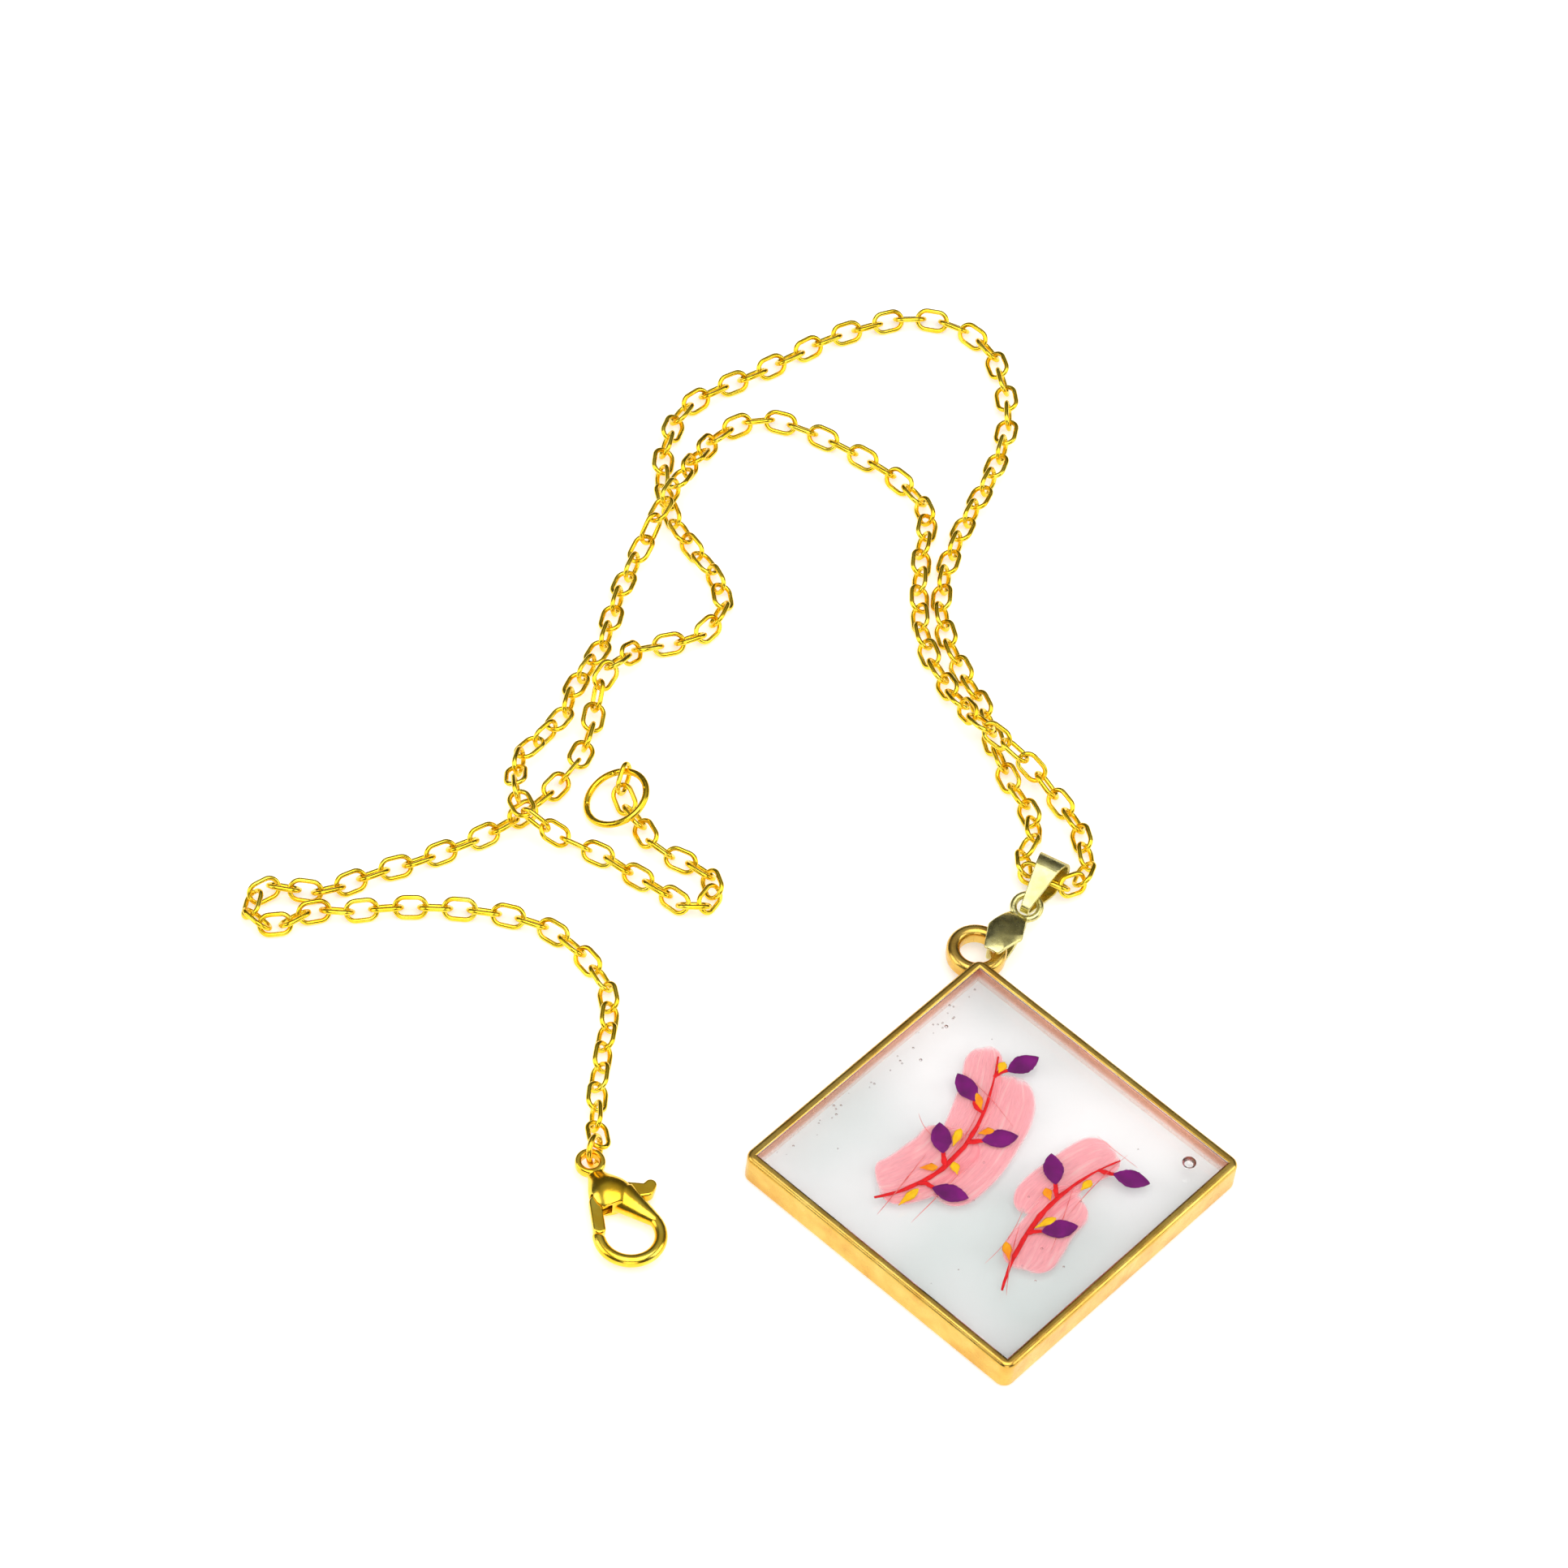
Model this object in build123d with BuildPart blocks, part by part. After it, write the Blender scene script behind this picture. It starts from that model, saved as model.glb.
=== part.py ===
from build123d import *
import math
import os
from collections import namedtuple

# A square resin pendant in a metal bezel, on a cable chain that lies open on a flat surface.
# Millimetres. The origin is the centre of the pendant's back face, on the surface. +Y runs to the
# corner that carries the loop, +X to the right-hand corner, +Z up out of the face.

# Gap kept above the surface by wires and rings, between small pieces, and where a ring hangs
FLOOR_GAP = 0.06
PLAY = 0.1
RING_PLAY = 0.3

# Bezel: a square frame turned on its corner, with a loop soldered to the top corner
BEZEL_SIDE = 34.5
BEZEL_WALL = 1.0
BEZEL_HEIGHT = 3.6
BEZEL_CORNER = 1.1
BEZEL_TOP_EASE = 0.5
BEZEL_LIP_EASE = 0.3
BEZEL_FOOT_EASE = 0.4
LOOP_RADIUS = 3.05
LOOP_WALL = 1.35
LOOP_HEIGHT = 2.0
LOOP_BASE = 0.8
LOOP_EASE = 0.6
LOOP_INSET = 0.12

# Resin block and the leaves sealed in it
RESIN_DROP = 0.25
LEAF_LENGTH = 3.7
LEAF_WIDTH = 2.1
LEAF_THICK = 0.25
LEAF_DEPTH = 1.45
LEAF_STALK = 1.5
LEAF_SPLAY = 48
LEAF_ROOM = 0.05

# Each sprig bends from its root past a middle point to its tip, as shares of the opening's half
# diagonal. Its leaves alternate from side to side between two shares of its length.
Sprig = namedtuple("Sprig", "root middle tip leaves first last")
SPRIGS = [
    Sprig((-0.46, -0.16), (-0.06, -0.04), (0.05, 0.52), 5, 0.18, 0.94),
    Sprig((0.02, -0.58), (0.16, -0.16), (0.52, 0.02), 3, 0.30, 0.90),
]

# Pinch clip: two sprung leaves folded over the loop's wall, with a small ring on the fold. Its
# curve runs from the fold to the front leaf's tip, as shares of the leaf's length and rise, and the
# plain back leaf leaves it after its second point. An ellipse crowns the leaves crosswise, and a
# prong stands under the front leaf, at shares of the leaf's length and half width.
CLIP_CROSSING = 16
CLIP_TURN = 57.9
CLIP_SEAT = 4.3
CLIP_LEVEL = 1.8
CLIP_BAND = 0.4
CLIP_RISE = 1.5
CLIP_CURVE = [(0.18, 0.62), (0.5, 0.97), (0.78, 1.06), (1.05, 0.88)]
CLIP_LENGTH = 6.0
CLIP_BACK_LENGTH = 4.9
CLIP_WIDEST = 0.55
CLIP_HALF_WIDTH = 1.95
CLIP_BACK_HALF_WIDTH = 1.0
CLIP_FOLD_HALF_WIDTH = 0.75
CLIP_TIP_HALF_WIDTH = 0.8
CLIP_CORNER = 0.6
CLIP_CROWN = 4.0
CLIP_PRONG = (0.88, -0.28)
CLIP_PRONG_RADIUS = 0.3
CLIP_PRONG_FOOT = 0.9
CLIP_RING_RADIUS = 1.36
CLIP_RING_WIRE = 0.75
CLIP_RING_TILT = 12
CLIP_RING_LAP = 0.2

# Bail: a teardrop band through the small ring, wide where the chain runs through it. Its narrow
# end has slid into the ring's hole and hangs a little below the ring's wire.
BAIL_TURN = 59.5
BAIL_SMALL_RADIUS = 0.72
BAIL_EYE_RADIUS = 2.1
BAIL_REACH = 2.99
BAIL_SLIDE = 1.35
BAIL_SINK = 0.28
BAIL_BAND = 0.35
BAIL_NEAR_HALF_WIDTH = 0.45
BAIL_FAR_HALF_WIDTH = 1.65

# Cable chain
CHAIN_WIRE = 0.5
LINK_WIDTH = 2.5
LINK_PITCH = 2.45
LINK_PLAY = 0.22
LINK_RADIUS = (LINK_WIDTH - CHAIN_WIRE) / 2
LINK_STRAIGHT = LINK_PITCH + CHAIN_WIRE + LINK_PLAY - 2 * LINK_RADIUS
LINK_OVERREACH = (CHAIN_WIRE + LINK_PLAY) / 2

# End ring, and the ring between the chain and the clasp
END_RING_RADIUS = 3.25
END_RING_WIRE = 0.7
END_RING_TILT = 26
END_RING_HANG = 70
CLASP_RING_RADIUS = 1.45
CLASP_RING_WIRE = 0.6
CLASP_RING_TURN = 71
CLASP_RING_TILT = 74

# Lobster clasp, in its own plan: V runs to the eye, U to the thumb tab. Its hook is round wire
# from the nose to the shoulder. Its head is domed over elliptical sections, from its foot to the
# eye: each one's place is a share of that way, its offset a share of the pivot's, its half width a
# share of the head's and its half height of the clasp's.
CLASP_TURN = 20
CLASP_HALF_HEIGHT = 1.5
EYE_V = 8.8
EYE_RADIUS = 1.5
EYE_HOLE = 0.86
EYE_HEIGHT = 1.1
EYE_EASE = 0.25
PIVOT_U = 0.6
PIVOT_V = 4.9
HOOK_U = 0.6
HOOK_V = -0.25
HOOK_RADIUS = 3.0
HOOK_WIRE = 1.3
NOSE_TURN = 150
SHOULDER_TURN = 12
SHOULDER_U = 1.5
SHOULDER_V = 4.1
SHOULDER_LEAN = 30
SHOULDER_HALF_WIDTH = 1.75
SHOULDER_HALF_HEIGHT = 1.3
HEAD_FOOT_V = 3.05
HEAD_HALF_WIDTH = 2.2
Section = namedtuple("Section", "place offset half_width half_height")
HEAD = [
    Section(0, 0.92, 0.77, 0.73), Section(0.17, 1, 0.98, 0.92), Section(0.43, 0.97, 1, 1),
    Section(0.74, 0.58, 0.73, 0.77), Section(1.05, 0.08, 0.39, 0.33),
]
PIN_RADIUS = 0.45
PIN_COVER = 0.35
PIN_SLACK = 0.05

# The clasp's lever: its corners from the gate's tip over the hub to the thumb tab's tip, each with
# its reach from the pivot as a share of the gate's or the tab's, its turn about the pivot, and its
# radius as a share of the gate's, the hub's or the tab's
GATE_REACH = 4.58
GATE_RADIUS = 0.62
LEVER_HUB = 1.15
TAB_REACH = 3.95
TAB_RADIUS = 0.6
LEVER_THICK = 1.2
LEVER_EASE = 0.25
LEVER_TRAVEL = 25
SLOT_STEPS = 5
Corner = namedtuple("Corner", "reach turn radius")
LEVER = [
    Corner(1 * GATE_REACH, -125, 1 * GATE_RADIUS),
    Corner(0.445 * GATE_REACH, -158.5, 1 * GATE_RADIUS),
    Corner(0, 0, LEVER_HUB),
    Corner(0.876 * TAB_REACH, -17.7, 1.25 * TAB_RADIUS),
    Corner(1 * TAB_REACH, -8.7, 1 * TAB_RADIUS),
]
GAP_TURN = -85
GAP_SWEEP = -95

# The chain's route over the surface, from the end ring through the bail to the clasp's ring,
# measured from the bail's eye. Lift is the height above what a link of that tilt needs on the
# surface, tilt turns the links about the route in degrees, and slack closes them up, as a share
# of the pitch.
Point = namedtuple("Point", "x y lift tilt slack", defaults=(0, 45, 0))
ROUTE = [
    Point(-41.94, 12.78, 0.97, 85), Point(-42.05, 11.57, 1.22, 69, 0.03),
    Point(-42.7, 10.12, 0, 58, 0.07), Point(-41.25, 7.55, 0.05, 44), Point(-39.89, 4.72, 0.07, 58),
    Point(-39.36, 3.27, 0.19, 55, 0.02), Point(-37.5, 2.5), Point(-35.1, 1.2, 0, 45, 0.13),
    Point(-33.5, -0.5, 0, 45, 0.13), Point(-33.7, -2.9, 0.1, 45, 0.13),
    Point(-35.6, -4, 0.1, 45, 0.13), Point(-37.5, -3.1, 0.1, 45, 0.13), Point(-39, -1.5, 0.1),
    Point(-41, -0.3), Point(-44.2, 2.3), Point(-47.4, 3.8, 0.1, 40), Point(-49.3, 4.4, 0.7, 20),
    Point(-51, 4.8, 1.9, 10), Point(-52.7, 6.3, 2.3, 10), Point(-53.3, 8.7, 2, 15),
    Point(-53.2, 11.7, 0.9, 20), Point(-52.8, 14.6, 0.1, 20), Point(-50.1, 17.7, 0, 15),
    Point(-48.1, 20.4, 0, 15), Point(-47.1, 23.8, 0, 15), Point(-44, 29.6, 0, 15),
    Point(-42.9, 33.7, 0, 15), Point(-42, 36.9, 0, 15), Point(-40.2, 41.4, 0.1, 15),
    Point(-39.1, 43.6, 0.8, 20), Point(-38.2, 45.2, 2.3, 30), Point(-36.6, 48.5, 2.5, 30),
    Point(-35.1, 51.3, 2.3, 30), Point(-33.5, 54.7, 1.1, 40), Point(-32, 57.5, 0.2),
    Point(-29.6, 59.9), Point(-26.1, 61.2), Point(-21.2, 59.5), Point(-17.1, 57),
    Point(-13.2, 54.1), Point(-10.6, 51.1, 0, 40), Point(-9.3, 47.7, 0, 30),
    Point(-10, 44.6, 0, 30), Point(-10.5, 41, 0, 30), Point(-10.8, 37.7, 0, 30),
    Point(-10.9, 34, 0, 40), Point(-10.4, 30.1, 0.1), Point(-9.1, 26.4, 0.1),
    Point(-7.5, 22.1, 1.2, 35), Point(-5.6, 18.2, 2.6, 30), Point(-3.3, 15.9, 2.6, 30),
    Point(-1.2, 14.1, 1.9, 35), Point(0.7, 12.7, 0.5), Point(2.2, 10.3), Point(3.6, 8),
    Point(4.3, 4.5, 0.2), Point(4.4, 1.98, 0.21, 45, 0.07), Point(3.08, -0.6, 0.53, 47, 0.09),
    Point(1.51, -1.07, 0.87, 51, 0.08), Point(0.07, -0.4, 1.11, 40, 0.12),
    Point(-2.07, 0.95, 0.73, 47, 0.08), Point(-2.29, 2.52, 0.39, 47), Point(-0.76, 5.99, 0.58, 46),
    Point(-0.8, 8.6), Point(-2.3, 11.8), Point(-3.6, 15.4, 0, 35), Point(-4.3, 19, 0, 35),
    Point(-5, 22.6), Point(-6.4, 26), Point(-7.7, 29.7, 0, 40), Point(-8.6, 34, 0, 40),
    Point(-8.4, 38.1, 0, 30), Point(-7.5, 41.9, 0, 20), Point(-6, 45.9, 0, 20),
    Point(-4, 50.3, 0, 20), Point(-2, 54.6, 0, 20), Point(-0.7, 58.6, 0, 15), Point(0, 62.1, 0, 15),
    Point(-0.3, 67.1, 0, 25), Point(-1.5, 71.9), Point(-4.9, 75.2), Point(-9.9, 76.2),
    Point(-14.7, 74.7), Point(-19.1, 72.7), Point(-23.1, 70), Point(-27.3, 67.3),
    Point(-31.5, 64.9), Point(-34.6, 62.3), Point(-36.8, 56.5, 0, 20), Point(-37.2, 51, 0, 30),
    Point(-35.6, 45.2, 0, 30), Point(-33.8, 42.1, 0, 30), Point(-31.8, 38.4, 0, 20),
    Point(-31.3, 35.3, 0, 25), Point(-32.4, 32.8, 0.1, 40, 0.05), Point(-34.2, 31, 0.1, 45, 0.05),
    Point(-38.6, 29.7), Point(-40.6, 28.7, 0.6), Point(-42.3, 26.5, 1.8),
    Point(-43.7, 24.7, 2.1, 40), Point(-44.6, 23, 1.6, 30), Point(-44.9, 21.3, 0.5, 20),
    Point(-45.6, 17.8, 0, 15), Point(-46.7, 14.6, 0, 15), Point(-50.4, 9.5, 0, 35),
    Point(-55.4, 5.3), Point(-58.4, 3.6), Point(-64.5, 0.7), Point(-67, -0.1), Point(-71.4, -2.3),
    Point(-74.4, -3.1, 0.3, 45, 0.13), Point(-76.5, -2.4, 0.5, 45, 0.13),
    Point(-78.6, -2.8, 0.3, 45, 0.13), Point(-79.9, -4.8, 0.1, 45, 0.13),
    Point(-78.8, -6.9, 0.1, 45, 0.13), Point(-76.6, -7, 0.1, 45, 0.13),
    Point(-74.7, -5.7, 0.1, 45, 0.13), Point(-72.9, -5), Point(-70.7, -5.2), Point(-65.5, -4.5),
    Point(-58.3, -4.6), Point(-53.3, -5.5), Point(-49.4, -7.3), Point(-45.2, -12.4),
    Point(-44.2, -15.7), Point(-44.9, -21.1), Point(-45.5, -25),
    Point(-45.95, -30.24, 0.02, 17, 0.03), Point(-45.64, -33.15, 0.37, 22),
]
ROUTE_STEPS = 16


def polar(length, degrees):
    """The plan vector of a length and a direction."""
    return Vector(length * math.cos(math.radians(degrees)), length * math.sin(math.radians(degrees)))


def opening_half_diagonal():
    return (BEZEL_SIDE / 2 - BEZEL_WALL) * math.sqrt(2)


# Bezel
loop_centre = Vector(0, opening_half_diagonal() + LOOP_INSET + LOOP_RADIUS)
loop_section = Plane(origin=(0, loop_centre.Y, LOOP_BASE), x_dir=(1, 0, 0), z_dir=(0, -1, 0))
with BuildPart() as bezel_frame:
    with BuildSketch():
        Rectangle(BEZEL_SIDE, BEZEL_SIDE, rotation=45)
    extrude(amount=BEZEL_HEIGHT)
    fillet(bezel_frame.edges().filter_by(Axis.Z), BEZEL_CORNER)
    fillet(bezel_frame.faces().sort_by(Axis.Z)[-1].edges(), BEZEL_TOP_EASE)
    fillet(bezel_frame.faces().sort_by(Axis.Z)[0].edges(), BEZEL_FOOT_EASE)
    with BuildSketch():
        Rectangle(BEZEL_SIDE - 2 * BEZEL_WALL, BEZEL_SIDE - 2 * BEZEL_WALL, rotation=45)
    extrude(amount=BEZEL_HEIGHT, mode=Mode.SUBTRACT)
    lip = bezel_frame.faces().sort_by(Axis.Z)[-1].inner_wires()[0]
    fillet(lip.edges(), BEZEL_LIP_EASE)
    with BuildSketch(loop_section):
        with Locations((LOOP_RADIUS - LOOP_WALL / 2, LOOP_HEIGHT / 2)):
            RectangleRounded(LOOP_WALL, LOOP_HEIGHT, LOOP_EASE)
    revolve(axis=Axis((0, loop_centre.Y, 0), (0, 0, 1)))
bezel_frame.part.label = "bezel_frame"


# Leaves
def sprig_point(sprig, share):
    """A point of the sprig's stem, on a curve pulled towards its middle point."""
    near = (1 - share) ** 2
    bend = 2 * share * (1 - share)
    far = share**2
    scale = opening_half_diagonal()
    return Vector(
        scale * (near * sprig.root[0] + bend * sprig.middle[0] + far * sprig.tip[0]),
        scale * (near * sprig.root[1] + bend * sprig.middle[1] + far * sprig.tip[1]),
    )


def leaf_planes():
    """One plane for each leaf: its centre, with X along the leaf, away from the stem."""
    planes = []
    for sprig in SPRIGS:
        for number in range(sprig.leaves):
            share = sprig.first + (sprig.last - sprig.first) * number / (sprig.leaves - 1)
            stem = sprig_point(sprig, share)
            ahead = sprig_point(sprig, share + 0.01) - stem
            side = 1 if number % 2 else -1
            turn = math.degrees(math.atan2(ahead.Y, ahead.X)) + side * LEAF_SPLAY
            centre = stem + polar(LEAF_STALK + LEAF_LENGTH / 2, turn)
            level = BEZEL_HEIGHT - RESIN_DROP - LEAF_DEPTH
            way = polar(1, turn)
            planes.append(Plane(origin=(centre.X, centre.Y, level), x_dir=(way.X, way.Y, 0)))
    return planes


def leaf_blank(plane, room):
    """An almond leaf, grown by room on every side."""
    length = LEAF_LENGTH / 2 + 2 * room
    width = LEAF_WIDTH / 2 + room
    with BuildPart() as blank:
        with BuildSketch(plane.offset(-LEAF_THICK / 2 - room)):
            with BuildLine():
                ThreePointArc((-length, 0), (0, width), (length, 0))
                ThreePointArc((length, 0), (0, -width), (-length, 0))
            make_face()
        extrude(amount=LEAF_THICK + 2 * room)
    return blank.part


leaves = [leaf_blank(plane, 0) for plane in leaf_planes()]
pockets = [leaf_blank(plane, LEAF_ROOM) for plane in leaf_planes()]

# Resin
with BuildPart() as resin:
    with BuildSketch():
        Rectangle(BEZEL_SIDE - 2 * BEZEL_WALL, BEZEL_SIDE - 2 * BEZEL_WALL, rotation=45)
    extrude(amount=BEZEL_HEIGHT - RESIN_DROP)
    add(pockets, mode=Mode.SUBTRACT)
resin.part.label = "resin"

# Pinch clip: S runs from the fold to the tips, across the loop's wall
clip_seat = loop_centre + polar(LOOP_RADIUS - LOOP_WALL / 2, CLIP_CROSSING)
clip_fold = clip_seat + polar(CLIP_SEAT, CLIP_TURN)
clip_way = polar(-1, CLIP_TURN)
clip_side = Plane(
    origin=(clip_fold.X, clip_fold.Y, CLIP_LEVEL),
    x_dir=(clip_way.X, clip_way.Y, 0),
    z_dir=(clip_way.Y, -clip_way.X, 0),
)
clip_plan = Plane(origin=(clip_fold.X, clip_fold.Y, 0), x_dir=(clip_way.X, clip_way.Y, 0))
clip_cross = Plane(
    origin=(clip_fold.X, clip_fold.Y, CLIP_LEVEL),
    x_dir=(-clip_way.Y, clip_way.X, 0),
    z_dir=(clip_way.X, clip_way.Y, 0),
)
clip_ring_centre = clip_fold + polar(
    CLIP_RING_LAP + CLIP_RING_RADIUS * math.cos(math.radians(CLIP_RING_TILT)), CLIP_TURN
)
clip_ring_level = CLIP_LEVEL + CLIP_RING_RADIUS * math.sin(math.radians(CLIP_RING_TILT))
with BuildPart() as pinch_clip:
    with BuildSketch(clip_side):
        with BuildLine():
            front = [(CLIP_LENGTH * along, CLIP_RISE * rise) for along, rise in CLIP_CURVE]
            back = [(along, -rise) for along, rise in front[:2]]
            Spline((CLIP_BACK_LENGTH, -CLIP_RISE), back[1], back[0], (0, 0), *front)
        trace(line_width=CLIP_BAND)
    extrude(amount=CLIP_HALF_WIDTH, both=True)
    with BuildSketch(clip_plan) as clip_outline:
        with BuildLine():
            Polyline(
                (-CLIP_BAND, CLIP_FOLD_HALF_WIDTH),
                (CLIP_WIDEST * CLIP_LENGTH, CLIP_HALF_WIDTH),
                (CLIP_LENGTH + CLIP_BAND, CLIP_TIP_HALF_WIDTH),
                (CLIP_LENGTH + CLIP_BAND, -CLIP_TIP_HALF_WIDTH),
                (CLIP_WIDEST * CLIP_LENGTH, -CLIP_HALF_WIDTH),
                (-CLIP_BAND, -CLIP_FOLD_HALF_WIDTH),
                close=True,
            )
        make_face()
        fillet(clip_outline.vertices(), CLIP_CORNER)
    extrude(amount=BEZEL_HEIGHT * 2, mode=Mode.INTERSECT)
    with BuildSketch(clip_cross):
        Ellipse(CLIP_CROWN, CLIP_RISE * max(rise for _, rise in CLIP_CURVE) + CLIP_BAND / 2)
    extrude(amount=CLIP_LENGTH * 2, both=True, mode=Mode.INTERSECT)
    with BuildSketch(clip_plan):
        spare = CLIP_HALF_WIDTH - CLIP_BACK_HALF_WIDTH
        with Locations((CLIP_LENGTH / 2, CLIP_BACK_HALF_WIDTH), (CLIP_LENGTH / 2, -CLIP_HALF_WIDTH)):
            Rectangle(CLIP_LENGTH, spare, align=(Align.CENTER, Align.MIN))
    extrude(amount=CLIP_LEVEL, mode=Mode.SUBTRACT)
    with BuildSketch(clip_plan.offset(CLIP_PRONG_FOOT)):
        with Locations((CLIP_PRONG[0] * CLIP_LENGTH, CLIP_PRONG[1] * CLIP_HALF_WIDTH)):
            Circle(CLIP_PRONG_RADIUS)
    extrude(amount=CLIP_LEVEL + CLIP_RISE - CLIP_PRONG_FOOT)
    with BuildSketch(loop_section):
        with Locations((LOOP_RADIUS - LOOP_WALL / 2, LOOP_HEIGHT / 2)):
            RectangleRounded(LOOP_WALL + 2 * PLAY, LOOP_HEIGHT + 2 * PLAY, LOOP_EASE + PLAY)
    revolve(axis=Axis((0, loop_centre.Y, 0), (0, 0, 1)), mode=Mode.SUBTRACT)
    ring_way = polar(math.cos(math.radians(CLIP_RING_TILT)), CLIP_TURN)
    ring_plane = Plane(
        origin=(clip_ring_centre.X, clip_ring_centre.Y, clip_ring_level),
        x_dir=(ring_way.X, ring_way.Y, math.sin(math.radians(CLIP_RING_TILT))),
        z_dir=Vector(-ring_way.Y, ring_way.X, 0).cross(
            Vector(ring_way.X, ring_way.Y, math.sin(math.radians(CLIP_RING_TILT)))
        ),
    )
    with Locations(ring_plane):
        Torus(CLIP_RING_RADIUS, CLIP_RING_WIRE / 2)
pinch_clip.part.label = "pinch_clip"

# Bail: Q runs from the small ring's centre to the far end, over the chain
bail_wire = CLIP_RING_RADIUS * math.cos(math.radians(CLIP_RING_TILT))
bail_wire_level = clip_ring_level + CLIP_RING_RADIUS * math.sin(math.radians(CLIP_RING_TILT))
bail_eye_level = BAIL_EYE_RADIUS + PLAY
bail_way = polar(1, BAIL_TURN)
bail_side = Plane(
    origin=(clip_ring_centre.X, clip_ring_centre.Y, 0),
    x_dir=(bail_way.X, bail_way.Y, 0),
    z_dir=(bail_way.Y, -bail_way.X, 0),
)
bail_plan = Plane(
    origin=(clip_ring_centre.X, clip_ring_centre.Y, 0), x_dir=(bail_way.X, bail_way.Y, 0)
)
bail_eye = clip_ring_centre + polar(bail_wire + BAIL_REACH, BAIL_TURN)
bail_small = bail_wire - BAIL_SLIDE
bail_small_level = bail_wire_level - BAIL_SINK
with BuildPart() as bail_loop:
    for shrink, mode in ((0, Mode.ADD), (BAIL_BAND, Mode.SUBTRACT)):
        with BuildSketch(bail_side):
            with BuildLine():
                CenterArc((bail_small, bail_small_level), BAIL_SMALL_RADIUS - shrink, 0, 360)
                CenterArc((bail_wire + BAIL_REACH, bail_eye_level), BAIL_EYE_RADIUS - shrink, 0, 360)
            make_hull()
        extrude(amount=BAIL_FAR_HALF_WIDTH, both=True, mode=mode)
    bail_end = bail_wire + BAIL_REACH + BAIL_EYE_RADIUS
    with BuildSketch(bail_plan):
        with BuildLine():
            Polyline(
                (bail_small - BAIL_SMALL_RADIUS, BAIL_NEAR_HALF_WIDTH),
                (bail_end, BAIL_FAR_HALF_WIDTH),
                (bail_end, -BAIL_FAR_HALF_WIDTH),
                (bail_small - BAIL_SMALL_RADIUS, -BAIL_NEAR_HALF_WIDTH),
                close=True,
            )
        make_face()
    extrude(amount=BEZEL_HEIGHT * 2, mode=Mode.INTERSECT)
bail_loop.part.label = "bail_loop"


# Chain
def level_of(point):
    """The height of the route at a point: a tilted link's half height, and its lift."""
    tilt = math.radians(point.tilt)
    half_height = LINK_RADIUS * max(abs(math.sin(tilt)), abs(math.cos(tilt)))
    return half_height + CHAIN_WIRE / 2 + FLOOR_GAP + point.lift


def mixed(first, second, share):
    return tuple(a + (b - a) * share for a, b in zip(first, second))


def route_samples():
    """The smooth route through the chosen points, as rows of x, y, z, tilt and slack."""
    rows = [
        (point.x + bail_eye.X, point.y + bail_eye.Y, level_of(point), point.tilt, point.slack)
        for point in ROUTE
    ]
    rows.insert(0, mixed(rows[1], rows[0], 2))
    rows.append(mixed(rows[-2], rows[-1], 2))
    samples = []
    for four in zip(rows, rows[1:], rows[2:], rows[3:]):
        times = [0]
        for a, b in zip(four, four[1:]):
            times.append(times[-1] + math.sqrt(math.dist(a[:3], b[:3])))
        for step in range(ROUTE_STEPS):
            now = times[1] + (times[2] - times[1]) * step / ROUTE_STEPS
            level = list(four)
            for order in (1, 2, 3):
                for i in range(4 - order):
                    low, high = i, i + order
                    if order == 3:
                        low, high = 1, 2
                    share = (now - times[low]) / (times[high] - times[low])
                    level[i] = mixed(level[i], level[i + 1], share)
            samples.append(level[0])
    samples.append(rows[-2])
    return samples


def walked_joints(samples, pitch):
    """Points along the route, each one slackened pitch in a straight line from the last."""
    joints = [samples[0]]
    here = samples[0]
    for ahead in samples[1:]:
        reach = pitch * (1 - joints[-1][4])
        while math.dist(ahead[:3], joints[-1][:3]) >= reach:
            low, high = 0, 1
            for _ in range(30):
                middle = (low + high) / 2
                if math.dist(mixed(here, ahead, middle)[:3], joints[-1][:3]) < reach:
                    low = middle
                else:
                    high = middle
            here = mixed(here, ahead, high)
            joints.append(here)
            reach = pitch * (1 - here[4])
        here = ahead
    return joints


def fitted_joints():
    """The chain's joints, with the pitch eased so that the last one lands on the route's end."""
    samples = route_samples()
    count = len(walked_joints(samples, LINK_PITCH))
    low, high = LINK_PITCH * 0.98, LINK_PITCH
    for _ in range(30):
        middle = (low + high) / 2
        if len(walked_joints(samples, middle)) > count:
            low = middle
        else:
            high = middle
    return walked_joints(samples, low)


def link_planes(joints):
    """One plane for each link: its middle, with X along the route and Z through the link."""
    planes = []
    for number, (first, second) in enumerate(zip(joints, joints[1:])):
        along = Vector(*second[:3]) - Vector(*first[:3])
        side = Vector(0, 0, 1).cross(along).normalized()
        up = along.normalized().cross(side)
        turn = math.radians((first[3] + second[3]) / 2 + 90 * (number % 2))
        through = up * math.cos(turn) + side * math.sin(turn)
        planes.append(Plane(origin=Vector(*first[:3]) + along / 2, x_dir=along, z_dir=through))
    return planes


with BuildPart() as link:
    with BuildSketch(Plane.YZ.offset(-LINK_STRAIGHT / 2)):
        with Locations((-LINK_RADIUS, 0), (LINK_RADIUS, 0)):
            Circle(CHAIN_WIRE / 2)
    extrude(amount=LINK_STRAIGHT)
    for end in (1, -1):
        with BuildSketch(Plane.YZ.offset(end * LINK_STRAIGHT / 2)):
            with Locations((-LINK_RADIUS, 0)):
                Circle(CHAIN_WIRE / 2)
        revolve(axis=Axis((end * LINK_STRAIGHT / 2, 0, 0), (0, 0, end)), revolution_arc=180)

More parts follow.
